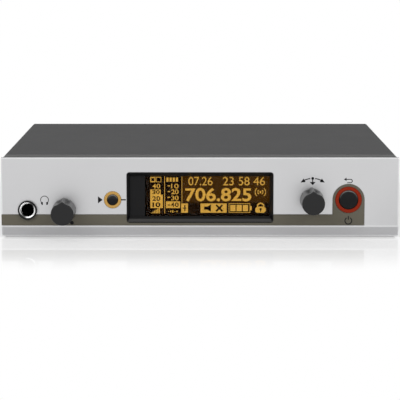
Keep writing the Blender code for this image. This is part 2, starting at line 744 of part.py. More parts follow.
def make_funnel():
    """A cutter whose four sides slope in from the bezel's lip to the window floor."""
    lip_left = -BEZEL_WIDTH / 2 + BEZEL_LIP
    lip_bottom = BEZEL_BOTTOM + BEZEL_LIP
    lip_top = BEZEL_TOP - BEZEL_LIP
    rise = CUT_MARGIN / FUNNEL_DEPTH

    def build(work):
        bmesh.ops.create_cube(work, size=2)
        for vert in work.verts:
            right, up, front = (value > 0 for value in vert.co)
            spread = rise if front else -1
            x = -lip_left + FUNNEL_SIDE * spread
            vert.co.x = x if right else -x
            vert.co.y = lip_top + FUNNEL_TOP * spread if up else lip_bottom - FUNNEL_BOTTOM * spread
            vert.co.z = BEZEL_PROUD + CUT_MARGIN if front else WINDOW_FLOOR

    return place("funnel", mesh_from("funnel", build), FRONT, (0, 0, 0), None)


# Rotary controls

def knob_radius(angle, round_radius, rise, scoop):
    """A round knob with a raised pointer at angle zero and a scoop on each side of it."""
    share = max(0.0, 1 - abs(angle) / POINTER_HALF_ANGLE)
    return round_radius + rise * share ** 3 - scoop * math.sin(math.pi * share)


def make_knob(name, at):
    def shape(verts, height, round_radius, rise, scoop):
        for vert in verts:
            angle = math.atan2(vert.co.x, vert.co.y)
            radius = knob_radius(angle, round_radius, rise, scoop)
            vert.co = (radius * math.sin(angle), radius * math.cos(angle), height)

    levels = (
        (KNOB_PROUD - KNOB_ROUND, KNOB_FRONT_RADIUS),
        (KNOB_PROUD - KNOB_ROUND * KNOB_ROUND_STEP, KNOB_FRONT_RADIUS - KNOB_ROUND * KNOB_ROUND_STEP),
        (KNOB_PROUD, KNOB_FRONT_RADIUS - KNOB_ROUND),
    )

    def build(work):
        bmesh.ops.create_circle(work, cap_ends=True, segments=KNOB_SIDES, radius=KNOB_BASE_RADIUS)
        shape(work.verts, KNOB_LIFT, KNOB_BASE_RADIUS, POINTER_BASE_RISE, SCOOP_BASE_DEPTH)
        base = work.faces[:]
        top = base
        for height, radius in levels:
            grown = bmesh.ops.extrude_face_region(work, geom=top)["geom"]
            if top is not base:
                bmesh.ops.delete(work, geom=top, context="FACES_ONLY")
            top = [item for item in grown if isinstance(item, bmesh.types.BMFace)]
            rim = [item for item in grown if isinstance(item, bmesh.types.BMVert)]
            shape(rim, height, radius, POINTER_RISE, SCOOP_DEPTH)
        bmesh.ops.recalc_face_normals(work, faces=work.faces)

    knob = place(name, mesh_from(name, build), FRONT, (*at, 0), "soft_knob")
    recess_top = BUSH_TOP + JOG_TRAVEL + SEAT_GAP
    recess = rod(f"{name}_recess", KNOB_BASE_RADIUS - KNOB_WALL, 0, recess_top, at, FRONT)
    bore = rod(f"{name}_bore", SHAFT_RADIUS + TURN_GAP, 0, KNOB_PROUD - KNOB_CAP, at, FRONT)
    cut(knob, recess, bore)


def make_control(prefix, body_name, at, bore_end):
    """A knob on its shaft, in a bush that a nut holds to the faceplate."""
    make_knob(f"{prefix}_knob", at)
    rod(f"{prefix}_shaft", SHAFT_RADIUS, SHAFT_END, SHAFT_TOP, at, FRONT, "plated_steel")
    turned(
        f"{prefix}_nut", tube_profile(BUSH_RADIUS + FIT_GAP, NUT_RADIUS, SEAT_GAP, NUT_TOP), at, FRONT,
        "plated_steel", closed=True)
    half = CONTROL_WIDTH / 2
    body = block(
        body_name, (at[0] - half, at[1] - half, BOARD_SEAT), (at[0] + half, at[1] + half, CONTROL_FRONT),
        FRONT, "plated_steel")
    bush = rod(f"{prefix}_bush", BUSH_RADIUS, CONTROL_FRONT - JOIN_LAP, BUSH_TOP, at, FRONT)
    bore = rod(f"{prefix}_shaft_bore", SHAFT_RADIUS + TURN_GAP, bore_end, BUSH_TOP + CUT_MARGIN, at, FRONT)
    join(body, bush)
    cut(body, bore)


def make_rotary_controls():
    make_control("volume", "volume_pot", (VOLUME_X, LOWER_ROW), SHAFT_END - SEAT_GAP)
    jog_at = (JOG_X, UPPER_ROW)
    make_control("jog", "jog_encoder", jog_at, PLUNGER_END - JOG_TRAVEL - SEAT_GAP)
    rod("jog_plunger", SHAFT_RADIUS, PLUNGER_END, PLUNGER_TOP, jog_at, FRONT, "black_plastic")


# Push buttons

def make_button(prefix, x, ring_outer, ring_inner, guide_finish):
    at = (x, UPPER_ROW)
    flange = ring_outer + RING_FLANGE
    flange_back = PANEL_BACK - RING_FLANGE_THICKNESS
    ring = [
        (ring_outer, RING_PROUD), (ring_outer, PANEL_BACK), (flange, PANEL_BACK), (flange, flange_back),
        (ring_outer, flange_back), (ring_outer, -RING_BACK), (ring_inner, -RING_BACK), (ring_inner, RING_PROUD),
    ]
    turned(f"{prefix}_ring", ring, at, FRONT, guide_finish, closed=True)
    head = ring_inner - BUTTON_GAP
    cap = [
        (0, BUTTON_PROUD), (head - BUTTON_ROUND, BUTTON_PROUD), (head, BUTTON_PROUD - BUTTON_ROUND),
        (head, BUTTON_PROUD - BUTTON_HEAD), (STEM_RADIUS, BUTTON_PROUD - BUTTON_HEAD),
        (STEM_RADIUS, STEM_END), (0, STEM_END),
    ]
    turned(f"{prefix}_button", cap, at, FRONT, "black_plastic")
    half = SWITCH_WIDTH / 2
    switch = block(
        f"{prefix}_switch", (x - half, UPPER_ROW - half, BOARD_SEAT), (x + half, UPPER_ROW + half, SWITCH_FRONT),
        FRONT, "black_plastic")
    well = rod(
        f"{prefix}_switch_well", STEM_RADIUS + FIT_GAP, STEM_END - BUTTON_TRAVEL - SEAT_GAP,
        SWITCH_FRONT + CUT_MARGIN, at, FRONT)
    cut(switch, well)


# Jack sockets

def make_jack(prefix, at, wall, parent):
    """A 6.35 mm jack socket behind a wall, with its ferrule and the nut that holds it."""
    nut = tube_profile(FERRULE_RADIUS + FIT_GAP, JACK_NUT_RADIUS, SEAT_GAP, JACK_NUT_PROUD)
    turned(f"{prefix}_nut", nut, at, parent, "black_plastic", closed=True)
    top = JACK_NUT_PROUD - FERRULE_RECESS
    back = -wall - SEAT_GAP - FERRULE_BACK
    ferrule = [
        (FERRULE_RADIUS, top), (FERRULE_RADIUS, back), (JACK_BORE_RADIUS, back),
        (JACK_BORE_RADIUS, top - JACK_MOUTH), (JACK_BORE_RADIUS + JACK_MOUTH, top),
    ]
    turned(f"{prefix}_ferrule", ferrule, at, parent, "chrome", closed=True)
    half = JACK_BODY_WIDTH / 2
    body_front = -wall - SEAT_GAP
    body_back = body_front - JACK_BODY_DEPTH
    body = block(
        f"{prefix}_socket", (at[0] - half, at[1] - half, body_back), (at[0] + half, at[1] + half, body_front),
        parent, "black_plastic")
    seat = rod(
        f"{prefix}_ferrule_seat", FERRULE_RADIUS + FIT_GAP, back - SEAT_GAP, body_front + CUT_MARGIN, at, parent)
    bore = rod(
        f"{prefix}_bore", JACK_BORE_RADIUS, body_back + JACK_BODY_FLOOR, body_front + CUT_MARGIN, at, parent)
    cut(body, seat, bore)


# Boards and what they carry

def make_boards():
    half_jack = JACK_BODY_WIDTH / 2 + SEAT_GAP
    jack_room = rectangle(
        PHONES_X - half_jack, LOWER_ROW - half_jack, PHONES_X + half_jack, LOWER_ROW + half_jack)
    edge = SEAT_GAP
    plate(
        "front_board",
        [rectangle(-INNER_HALF + edge, INNER_BOTTOM + edge, INNER_HALF - edge, INNER_TOP - edge), jack_room],
        BOARD_BACK, BOARD_FRONT, FRONT, "green_board")
    block(
        "main_board", (-MAIN_BOARD_HALF, MAIN_BOARD_BOTTOM, MAIN_BOARD_BACK),
        (MAIN_BOARD_HALF, MAIN_BOARD_TOP, MAIN_BOARD_FRONT), FRONT, "green_board")
    top = MAIN_BOARD_SEAT + SHIELD_HEIGHT
    front = MAIN_BOARD_FRONT - SHIELD_FROM_FRONT
    back = front - SHIELD_DEPTH
    wall = SHIELD_WALL
    for side, left in (("left", SHIELD_INSET - MAIN_BOARD_HALF),
                       ("right", MAIN_BOARD_HALF - SHIELD_INSET - SHIELD_WIDTH)):
        right = left + SHIELD_WIDTH
        can = block(
            f"tuner_shield_{side}", (left, MAIN_BOARD_SEAT, back), (right, top, front), FRONT, "plated_steel")
        room = block(
            f"shield_room_{side}", (left + wall, MAIN_BOARD_SEAT - CUT_MARGIN, back + wall),
            (right - wall, top - wall, front - wall), FRONT)
        cut(can, room)


def make_ribbon():
    """A flat cable from the front board, bent down to the main board."""
    start = BOARD_BACK - SEAT_GAP
    bend_z = start - RIBBON_REACH
    outer = RIBBON_BEND + RIBBON_THICKNESS
    bend_y = RIBBON_TOP - outer
    outline = [
        (start, RIBBON_TOP - RIBBON_THICKNESS),
        (start, RIBBON_TOP),
        *arc(bend_z, bend_y, outer, 90, 180, CORNER_STEPS * 2),
        (bend_z - outer, MAIN_BOARD_SEAT),
        (bend_z - RIBBON_BEND, MAIN_BOARD_SEAT),
        *arc(bend_z, bend_y, RIBBON_BEND, 180, 90, CORNER_STEPS * 2),
    ]
    bar("ribbon_cable", outline, RIBBON_WIDTH / 2, 0, FRONT, "grey_ribbon")


# Rear connectors

def make_antenna_socket(side, x):
    at = (x, REAR_ROW)
    post_top = ANTENNA_PROUD - ANTENNA_POST_RECESS
    floor = ANTENNA_PROUD - ANTENNA_CAVITY_DEPTH
    body_back = REAR_INSIDE - ANTENNA_BODY_DEPTH
    profile = [
        (0, post_top), (ANTENNA_POST, post_top), (ANTENNA_POST, floor), (ANTENNA_CAVITY, floor),
        (ANTENNA_CAVITY, ANTENNA_PROUD), (ANTENNA_SHELL, ANTENNA_PROUD),
        (ANTENNA_SHELL, ANTENNA_THREAD_PROUD), (ANTENNA_THREAD, ANTENNA_THREAD_PROUD),
        (ANTENNA_THREAD, REAR_INSIDE), (ANTENNA_BODY_RADIUS, REAR_INSIDE), (ANTENNA_BODY_RADIUS, body_back),
        (0, body_back),
    ]
    socket = turned(f"antenna_socket_{side}", profile, at, REAR, "plated_steel")
    wall_middle = (ANTENNA_SHELL + ANTENNA_CAVITY) / 2
    for sign, name in ((-1, "low"), (1, "high")):
        lug = rod(f"lug_{side}_{name}", LUG_RADIUS, wall_middle, ANTENNA_SHELL + LUG_REACH, at, REAR,
                  sides=SMALL_SIDES)
        lug.location.z = ANTENNA_PROUD - LUG_FROM_TIP
        lug.rotation_euler = (-sign * math.pi / 2, 0, 0)
        join(socket, lug)
    plate(
        f"antenna_nut_{side}", [circle(*at, ANTENNA_NUT_RADIUS, 6), circle(*at, ANTENNA_THREAD + FIT_GAP)],
        SEAT_GAP, SEAT_GAP + ANTENNA_NUT_THICKNESS, REAR, "plated_steel")


def xlr_screw_places():
    return [(XLR_X - XLR_SCREW_X, REAR_ROW + XLR_SCREW_Y), (XLR_X + XLR_SCREW_X, REAR_ROW - XLR_SCREW_Y)]


def make_xlr():
    at = (XLR_X, REAR_ROW)
    half_width = XLR_FLANGE_WIDTH / 2
    half_height = XLR_FLANGE_HEIGHT / 2
    wall_middle = (XLR_CUP_RADIUS + XLR_CAVITY_RADIUS) / 2
    screw_hole = PAN_SHANK_RADIUS + FIT_GAP
    flange = plate(
        "xlr_shell",
        [rounded_rectangle(
            XLR_X - half_width, REAR_ROW - half_height, XLR_X + half_width, REAR_ROW + half_height, XLR_CORNER),
         circle(*at, wall_middle),
         *[circle(*place_at, screw_hole, SMALL_SIDES) for place_at in xlr_screw_places()]],
        SEAT_GAP, XLR_TOP, REAR, "black_plastic")
    cup_floor = XLR_CUP_END + XLR_CUP_FLOOR
    cup = turned(
        "xlr_cup",
        [(0, cup_floor), (XLR_CAVITY_RADIUS, cup_floor), (XLR_CAVITY_RADIUS, XLR_TOP), (XLR_CUP_RADIUS, XLR_TOP),
         (XLR_CUP_RADIUS, XLR_CUP_END), (0, XLR_CUP_END)],
        at, REAR, sides=FINE_SIDES)
    join(flange, cup)
    insert_top = XLR_INSERT_BACK + XLR_INSERT_THICKNESS
    insert = rod(
        "xlr_insert", XLR_CAVITY_RADIUS - FIT_GAP, XLR_INSERT_BACK, insert_top, at, REAR, "black_plastic")
    for number, angle in enumerate(XLR_PIN_ANGLES, start=1):
        turn = math.radians(angle)
        pin_at = (XLR_X + XLR_PIN_CIRCLE * math.cos(turn), REAR_ROW + XLR_PIN_CIRCLE * math.sin(turn))
        pin_top = XLR_TOP - XLR_PIN_RECESS
        profile = [
            (0, pin_top), (XLR_PIN_RADIUS - XLR_PIN_NOSE, pin_top), (XLR_PIN_RADIUS, pin_top - XLR_PIN_NOSE),
            (XLR_PIN_RADIUS, XLR_INSERT_BACK), (0, XLR_INSERT_BACK),
        ]
        turned(f"xlr_pin_{number}", profile, pin_at, REAR, "brass", SMALL_SIDES)
        hole = rod(
            f"xlr_pin_hole_{number}", XLR_PIN_RADIUS + FIT_GAP, XLR_INSERT_BACK - CUT_MARGIN,
            insert_top + CUT_MARGIN, pin_at, REAR, sides=SMALL_SIDES)
        cut(insert, hole)
    for name, screw_at in zip(("upper", "lower"), xlr_screw_places()):
        pan_screw(f"xlr_screw_{name}", screw_at, XLR_TOP, REAR)


def make_network_socket():
    left = NETWORK_X - NETWORK_WIDTH / 2
    socket = block(
        "network_socket", (left, MAIN_BOARD_SEAT, NETWORK_PROUD - NETWORK_DEPTH),
        (left + NETWORK_WIDTH, MAIN_BOARD_SEAT + NETWORK_HEIGHT, NETWORK_PROUD), REAR, "plated_steel")
    bottom = MAIN_BOARD_SEAT + PORT_LIFT
    back = NETWORK_PROUD - PORT_DEPTH
    front = NETWORK_PROUD + CUT_MARGIN
    half = PORT_WIDTH / 2
    key = PORT_KEY_WIDTH / 2
    port = block(
        "network_port", (NETWORK_X - half, bottom, back), (NETWORK_X + half, bottom + PORT_HEIGHT, front), REAR)
    latch = block(
        "network_latch", (NETWORK_X - key, bottom - PORT_KEY_HEIGHT, back),
        (NETWORK_X + key, bottom + JOIN_LAP, front), REAR)
    join(port, latch)
    cut(socket, port)


def make_power_inlet():
    top = POWER_IN_FLANGE_PROUD
    floor = POWER_IN_FLOOR - POWER_IN_DEPTH
    profile = [
        (0, top - POWER_IN_PIN_RECESS), (POWER_IN_PIN, top - POWER_IN_PIN_RECESS), (POWER_IN_PIN, floor),
        (POWER_IN_BORE, floor), (POWER_IN_BORE, top), (POWER_IN_FLANGE, top), (POWER_IN_FLANGE, SEAT_GAP),
        (POWER_IN_BODY, SEAT_GAP), (POWER_IN_BODY, -POWER_IN_DEPTH), (0, -POWER_IN_DEPTH),
    ]
    turned("power_inlet", profile, (POWER_IN_X, REAR_ROW), REAR, "black_plastic")


def make_rear_connectors():
    make_antenna_socket("right", -ANTENNA_X)
    make_antenna_socket("left", ANTENNA_X)
    make_xlr()
    make_jack("line_out", (LINE_OUT_X, REAR_ROW), REAR_THICKNESS, REAR)
    make_network_socket()
    make_power_inlet()


def make_receiver():
    make_faceplate()
    make_front_frame()
    cover = make_cover()
    tray = make_tray()
    make_side_screws(cover, tray)
    make_rear_panel()
    make_rear_screws(tray)
    make_feet()
    make_display()
    make_rotary_controls()
    make_button("sync", SYNC_X, SYNC_RING_OUTER, SYNC_RING_INNER, "amber_guide")
    make_button("power", POWER_X, POWER_RING_OUTER, POWER_RING_INNER, "red_guide")
    make_jack("phones", (PHONES_X, LOWER_ROW), PANEL_THICKNESS, FRONT)
    make_boards()
    make_ribbon()
    make_rear_connectors()


make_receiver()
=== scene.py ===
"""Looks of a half-rack wireless receiver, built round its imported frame, with its light and camera.

Lengths are in metres. The faceplate looks along -Y and the rear panel along +Y.
"""
import json
import math

import bmesh
import bpy
from mathutils import Matrix, Vector


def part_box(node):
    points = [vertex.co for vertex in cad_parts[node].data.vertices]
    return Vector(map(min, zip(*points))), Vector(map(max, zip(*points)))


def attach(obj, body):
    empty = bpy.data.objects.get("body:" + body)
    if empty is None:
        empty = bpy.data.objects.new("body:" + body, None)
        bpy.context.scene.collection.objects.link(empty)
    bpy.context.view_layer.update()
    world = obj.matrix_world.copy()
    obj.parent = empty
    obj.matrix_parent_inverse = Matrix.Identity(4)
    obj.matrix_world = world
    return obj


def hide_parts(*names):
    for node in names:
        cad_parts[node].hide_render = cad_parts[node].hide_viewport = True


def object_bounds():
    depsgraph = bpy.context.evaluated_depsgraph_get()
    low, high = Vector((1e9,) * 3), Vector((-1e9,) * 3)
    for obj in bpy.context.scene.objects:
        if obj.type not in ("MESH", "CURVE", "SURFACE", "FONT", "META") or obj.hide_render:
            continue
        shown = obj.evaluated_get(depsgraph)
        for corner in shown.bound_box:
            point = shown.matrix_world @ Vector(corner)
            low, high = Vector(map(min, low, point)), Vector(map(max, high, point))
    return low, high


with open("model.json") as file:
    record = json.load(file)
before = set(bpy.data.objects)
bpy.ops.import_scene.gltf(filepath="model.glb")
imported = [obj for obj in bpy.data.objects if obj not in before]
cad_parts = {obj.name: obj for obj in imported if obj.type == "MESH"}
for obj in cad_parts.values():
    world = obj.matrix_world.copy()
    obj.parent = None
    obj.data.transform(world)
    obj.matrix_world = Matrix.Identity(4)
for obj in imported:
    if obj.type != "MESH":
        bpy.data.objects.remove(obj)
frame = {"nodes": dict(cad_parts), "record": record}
cad_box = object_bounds()

# Material slot of each CAD node
SLOTS = {subpart["node"]: subpart["material_slot"] for subpart in frame["record"]["subparts"]}

# Directions that pieces face
FRONT = Vector((0, -1, 0))
REAR = Vector((0, 1, 0))
LEFT = Vector((-1, 0, 0))
RIGHT = Vector((1, 0, 0))
DOWN = Vector((0, 0, -1))
UP = Vector((0, 0, 1))

# How meshes are merged, rounded and shaded
SNAP = 0.000002
FLAT_DEGREES = 0.5
EDGE_DEGREES = 28
SHARP_DEGREES = 40
ROUND_STEPS = 96
SMALL_STEPS = 48
LUG_STEPS = 32
FOOT_STEPS = 64
ARC_STEPS = 32
EDGE_SEGMENTS = 3
THIN_EDGE = 0.00005
FINE_EDGE = 0.00008
PLATE_EDGE = 0.00012
LUG_EDGE = 0.00015
SOFT_EDGE = 0.0002
KEY_EDGE = 0.0003
FERRULE_EDGE = 0.00035

# Knobs: the CAD knob's form with finer sides
KNOB_STEPS = 180
KNOB_LEVELS = 20
KNOB_EDGE_LEVELS = 5
KNOB_LIFT = 0.001
KNOB_PROUD = 0.016
KNOB_BASE = {"radius": 0.0063, "rise": 0.0005}
KNOB_FRONT = {"radius": 0.00602, "rise": 0.0008}
KNOB_EDGE = 0.0004
KNOB_RECESS_RADIUS = 0.0056
KNOB_RECESS_TOP = 0.003
KNOB_BORE_RADIUS = 0.0031
KNOB_BORE_TOP = 0.0125
POINTER_HALF_ANGLE = math.radians(42)
# Depth of the knob's scoops at its base, where they are deepest and at its front, and where along the
# knob, from its base at zero to its front at one, they start to deepen and are deepest
SCOOP_BASE = 0.0001
SCOOP_DEEPEST = 0.0016
SCOOP_FRONT = 0.00035
SCOOP_START = 0.06
SCOOP_DEEPEST_AT = 0.34

# Attribute that says how far a face looks up, and the pale colour of dust and painted top light there
UPWARD = "upward"
DUST_AND_TOP_LIGHT_COLOUR = (0.45, 0.44, 0.42, 1.0)

# Faceplate: heights of the painted shade on its ledge and of the painted highlight over it, how far the
# painted highlights at its two ends and the painted shade on its top reach in, and their colours
LEDGE_FOOT = 0.0014
LEDGE_TOP = 0.0058
EDGE_TOP = 0.0068
END_EDGE = 0.0007
TOP_EDGE = 0.00003
EDGE_HIGHLIGHT_COLOUR = (0.68, 0.68, 0.687, 1.0)
LEDGE_PAINTED_SHADE = (0.78, 0.78, 0.785, 1.0)
TOP_PAINTED_SHADE = (0.4, 0.4, 0.4, 1.0)
# Cover: how much of the end of its sheet shows, and the colour of the painted highlight on it
COVER_END = 0.0003
COVER_END_HIGHLIGHT_COLOUR = (0.19, 0.19, 0.188, 1.0)
# How far a coloured band runs past the piece that it ends on
BAND_MARGIN = 0.001

# Prints on the faceplate and the rear panel
PRINT_THICKNESS = 0.00002
PRINT_LINE = 0.00042
PRINT_BOLD = 0.00054
# Signs on the front: the place of the headphones, and how far the others lie from the middle of their control
PHONES_SIGN = (-0.0829, 0.0204)
TURN_SIGN_RIGHT = 0.0004
TURN_SIGN_RISE = 0.0115
POWER_SIGN_DROP = 0.0113
BACK_SIGN_RISE = 0.0101
VOLUME_DOT_RIGHT = 0.0040
VOLUME_DOT_DROP = 0.0069
VOLUME_DOT_RADIUS = 0.00098
# Signs at the back: how far they lie over the middle of the antenna sockets, and over the top of the others
AERIAL_RISE = 0.0125
SIGNAL_ARROW_RISE = 0.0021
NETWORK_SIGN_RISE = 0.0035
SUPPLY_SIGN_RISE = 0.0025

# Display: its dots, where they start, from the lower left, and the height of the layer of its drawing that
# switches dots off
DOT_PITCH = 0.00028
DOT_FILL = 0.9
DOT_THICKNESS = 0.00006
DOT_COLUMNS = 226
DOT_ROWS = 74
DOTS_LEFT = -0.02745
DOTS_BOTTOM = 0.0121
UNLIT_LAYER = 0.01

# Display: heights between which the bezel's sill has painted shade, where the panel's glow starts and how
# softly
SILL_SHADE_BAND = (0.0101, 0.0116)
SILL_SHADE_COLOUR = (0.002, 0.002, 0.002, 1.0)
GLOW_LEFT = -0.0105
GLOW_BOTTOM = 0.0175
GLOW_EDGE = 0.002
GLOW_COLOUR = (0.055, 0.022, 0.0005, 1.0)

# Headphone bush: a painted reflection in sectors: the number of light sectors, how they are turned, the
# least of their light, and the wave's height at which they are fully light
SECTOR_COUNT = 2
SECTOR_TURN = math.radians(76)
SECTOR_LEAST = 0.06
SECTOR_LIGHT = -0.2

# Cross recesses of the screws
SIDE_RECESS = {"Span": 0.0036, "Slot Width": 0.0007, "Depth": 0.001}
REAR_RECESS = {"Span": 0.0028, "Slot Width": 0.0006, "Depth": 0.0008}

# Antenna sockets: their bayonet lugs, and the half-sections of insulator and contact, as inner radius, foot,
# outer radius and top
LUG_RADIUS = 0.0009
LUG_FOOT = 0.0044
LUG_SETBACK = 0.0025
INSULATOR = (0.0006, -0.0012, 0.0023, -0.0005)
ANTENNA_CONTACT = (0.0003, -0.0012, 0.00059, -0.0007)

# Network port: the bright rim of its mouth, the shade inside, and its contacts, whose bends are given by how
# far they lie behind the mouth and under the top
NETWORK_RIM = 0.0006
INSIDE_SHADE = (0.06, 0.06, 0.06, 1.0)
CONTACT_COUNT = 8
CONTACT_PITCH = 0.00102
CONTACT_HALF_WIDTH = 0.0002
CONTACT_THICKNESS = 0.0002
CONTACT_BENDS = ((0.0125, 0.0023), (0.006, 0.0026), (0.0025, 0.0039))

# Camera, fitted to the perspective of the photo: its place, its tilt in degrees and its lens in millimetres
CAMERA_PLACE = (0.0, -1.0107, 0.1548)
CAMERA_TILT = 8.261
CAMERA_LENS = 157.9

# Light: the strength of the white sky as a light, each lamp's place, size and power, and where they aim
SKY_STRENGTH = 0.6
LAMPS = (
    ((-1.0, -1.1, 1.0), 0.9, 8.6),
    ((1.0, -1.1, 1.0), 0.9, 8.6),
    ((0.0, -0.55, 0.75), 0.5, 1.0),
)
AIM = (0.0, 0.0, 0.02)

# Floor: its reach and height, between which distances from the object it turns to plain white, and how white
# it is at the least
FLOOR_REACH = 8.0
FLOOR_HEIGHT = -0.00002
FADE_START = 0.022
FADE_END = 0.085
FADE_LEAST = 0.37


# Node helpers

def feed(tree, node, inputs):
    """Links or sets a node's inputs."""
    for name, value in inputs.items():
        if isinstance(value, bpy.types.NodeSocket):
            tree.links.new(value, node.inputs[name])
        else:
            node.inputs[name].default_value = value


def add_node(tree, kind, inputs=None, **settings):
    """Adds a node, sets its properties, and links or sets its inputs."""
    made = tree.nodes.new(kind)
    for name, value in settings.items():
        setattr(made, name, value)
    feed(tree, made, inputs or {})
    return made


def maths(tree, operation, *values, **settings):
    """A number worked out from others."""
    inputs = dict(enumerate(values))
    return add_node(tree, "ShaderNodeMath", inputs, operation=operation, **settings).outputs[0]


def vector_maths(tree, operation, *values):
    """A vector worked out from others."""
    return add_node(tree, "ShaderNodeVectorMath", dict(enumerate(values)), operation=operation).outputs[0]


def smooth_rise(tree, value, start, end, least=0.0):
    """Rises smoothly to one while a value goes from a start to an end."""
    return add_node(
        tree, "ShaderNodeMapRange", {"Value": value, "From Min": start, "From Max": end, "To Min": least},
        interpolation_type="SMOOTHSTEP").outputs["Result"]


def object_place(tree):
    """The place on the object, from its origin."""
    return add_node(tree, "ShaderNodeTexCoord").outputs["Object"]


def along(tree, axis):
    """How far along an axis of the object a place is."""
    return add_node(tree, "ShaderNodeSeparateXYZ", {0: object_place(tree)}).outputs[axis]


def new_group(name, kind, inputs, outputs):
    """An empty node group with its sockets; returns the tree, its input node and its output node."""
    tree = bpy.data.node_groups.new(name, kind)
    for direction, sockets in (("INPUT", inputs), ("OUTPUT", outputs)):
        for label, socket_kind in sockets.items():
            tree.interface.new_socket(label, in_out=direction, socket_type="NodeSocket" + socket_kind)
    return tree, tree.nodes.new("NodeGroupInput"), tree.nodes.new("NodeGroupOutput")


def surface_detail():
    """Shared surface detail: a fine grain over slow clouds, as a colour, a roughness and a height."""
    tree, given, result = new_group(
        "surface_detail", "ShaderNodeTree",
        {"Vector": "Vector", "Stretch": "Vector", "Grain Scale": "Float", "Cloud Scale": "Float",
         "Color": "Color", "Roughness": "Float", "Tint": "Float", "Smudge": "Float"},
        {"Color": "Color", "Roughness": "Float", "Height": "Float"})
    sockets = given.outputs
    stretched = vector_maths(tree, "MULTIPLY", sockets["Vector"], sockets["Stretch"])
    grain = add_node(
        tree, "ShaderNodeTexNoise",
        {"Vector": stretched, "Scale": sockets["Grain Scale"], "Detail": 3.0, "Roughness": 0.6})
    cloud = add_node(
        tree, "ShaderNodeTexNoise",
        {"Vector": sockets["Vector"], "Scale": sockets["Cloud Scale"], "Detail": 4.0, "Roughness": 0.55})
    blend = maths(tree, "ADD", grain.outputs["Fac"], cloud.outputs["Fac"])
    centred = maths(tree, "SUBTRACT", blend, 1.0)
    value = maths(tree, "MULTIPLY_ADD", centred, sockets["Tint"], 1.0)
    colour = add_node(tree, "ShaderNodeHueSaturation", {"Color": sockets["Color"], "Value": value})
    rough = maths(
        tree, "MULTIPLY_ADD", centred, sockets["Smudge"], sockets["Roughness"], use_clamp=True)
    feed(tree, result, {
        "Color": colour.outputs["Color"], "Roughness": rough, "Height": grain.outputs["Fac"]})
    return tree


SURFACE_DETAIL = surface_detail()


def mixed_colour(tree, share, first, second, blend_type="MIX"):
    """Two colours mixed by a share."""
    mix = add_node(
        tree, "ShaderNodeMixRGB", {"Fac": share, "Color1": first, "Color2": second}, blend_type=blend_type)
    return mix.outputs["Color"]


def set_shader(material, inputs):
    """Links or sets inputs of a finish's shader."""
    tree = material.node_tree
    feed(tree, tree.nodes["Principled BSDF"], inputs)


def surface(name, colour, roughness, metallic=0.0, specular=0.5, grain=0.0002, cloud=0.02, depth=0.00001,
            tint=0.1, smudge=0.1, stretch=(1.0, 1.0, 1.0), coat=0.0, glow=0.0, dust_and_top_light=0.0):
    """A procedural finish. Grain and cloud are the sizes of its detail, depth the height of its bumps.

    The last argument is how far faces that look up turn pale: dust, and a painted highlight from above.
    """
    material = bpy.data.materials.new(name)
    material.use_nodes = True
    tree = material.node_tree
    detail = add_node(
        tree, "ShaderNodeGroup",
        {"Vector": object_place(tree), "Stretch": stretch, "Grain Scale": 1 / grain, "Cloud Scale": 1 / cloud,
         "Color": (*colour, 1), "Roughness": roughness, "Tint": tint, "Smudge": smudge},
        node_tree=SURFACE_DETAIL)
    bump = add_node(
        tree, "ShaderNodeBump", {"Height": detail.outputs["Height"], "Distance": depth, "Strength": 1.0})
    shade = detail.outputs["Color"]
    # Faces that look up turn pale: dust, and a painted highlight from the light above
    if dust_and_top_light:
        upward = add_node(tree, "ShaderNodeAttribute", attribute_name=UPWARD)
        shade = mixed_colour(tree, maths(tree, "MULTIPLY", upward.outputs["Fac"], dust_and_top_light), shade, DUST_AND_TOP_LIGHT_COLOUR)
    set_shader(material, {
        "Base Color": shade, "Roughness": detail.outputs["Roughness"], "Normal": bump.outputs["Normal"],
        "Metallic": metallic, "Specular IOR Level": specular, "Coat Weight": coat})
    if glow:
        set_shader(material, {"Emission Color": detail.outputs["Color"], "Emission Strength": glow})
    return material


def smoked_lens():
    """A clear window with a smoky tint; faint smudges vary its gloss."""
    material = surface(
        "smoked_lens", (0.62, 0.58, 0.55), 0.03, specular=0.05, cloud=0.012, tint=0.02, smudge=0.03)
    set_shader(material, {"Transmission Weight": 1.0, "IOR": 1.12})
    return material


def band(tree, axis, low, high):
    """A mask that is one between two limits along an axis of the object."""
    place = along(tree, axis)
    above = maths(tree, "GREATER_THAN", place, low)
    below = maths(tree, "LESS_THAN", place, high)
    return maths(tree, "MULTIPLY", above, below)


def shade_finish(material, share, colour, blend_type):
    """Mixes a colour into a finish by a share."""
    tree = material.node_tree
    base = tree.nodes["Principled BSDF"].inputs["Base Color"]
    now = base.links[0].from_socket
    tree.links.new(mixed_colour(tree, share, now, colour, blend_type), base)


def recolour(material, axis, limits, colour, blend_type="MIX"):
    """Changes a finish between two limits along an axis of the object."""
    shade_finish(material, band(material.node_tree, axis, *limits), colour, blend_type)


def satin_faceplate():
    """Satin aluminium, with painted shade on its ledge and top and painted highlights on its edges."""
    material = surface(
        "satin_aluminium", (0.585, 0.585, 0.592), 0.42, metallic=1.0, grain=0.00012, cloud=0.03,
        depth=0.000004, tint=0.05, smudge=0.08)
    low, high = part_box("faceplate")
    recolour(material, "X", (low.x - BAND_MARGIN, low.x + END_EDGE), EDGE_HIGHLIGHT_COLOUR)
    recolour(material, "X", (high.x - END_EDGE, high.x + BAND_MARGIN), EDGE_HIGHLIGHT_COLOUR)
    recolour(material, "Z", (LEDGE_FOOT, LEDGE_TOP), LEDGE_PAINTED_SHADE, "MULTIPLY")
    recolour(material, "Z", (LEDGE_TOP, EDGE_TOP), EDGE_HIGHLIGHT_COLOUR)
    recolour(material, "Z", (high.z - TOP_EDGE, high.z + BAND_MARGIN), TOP_PAINTED_SHADE, "MULTIPLY")
    return material


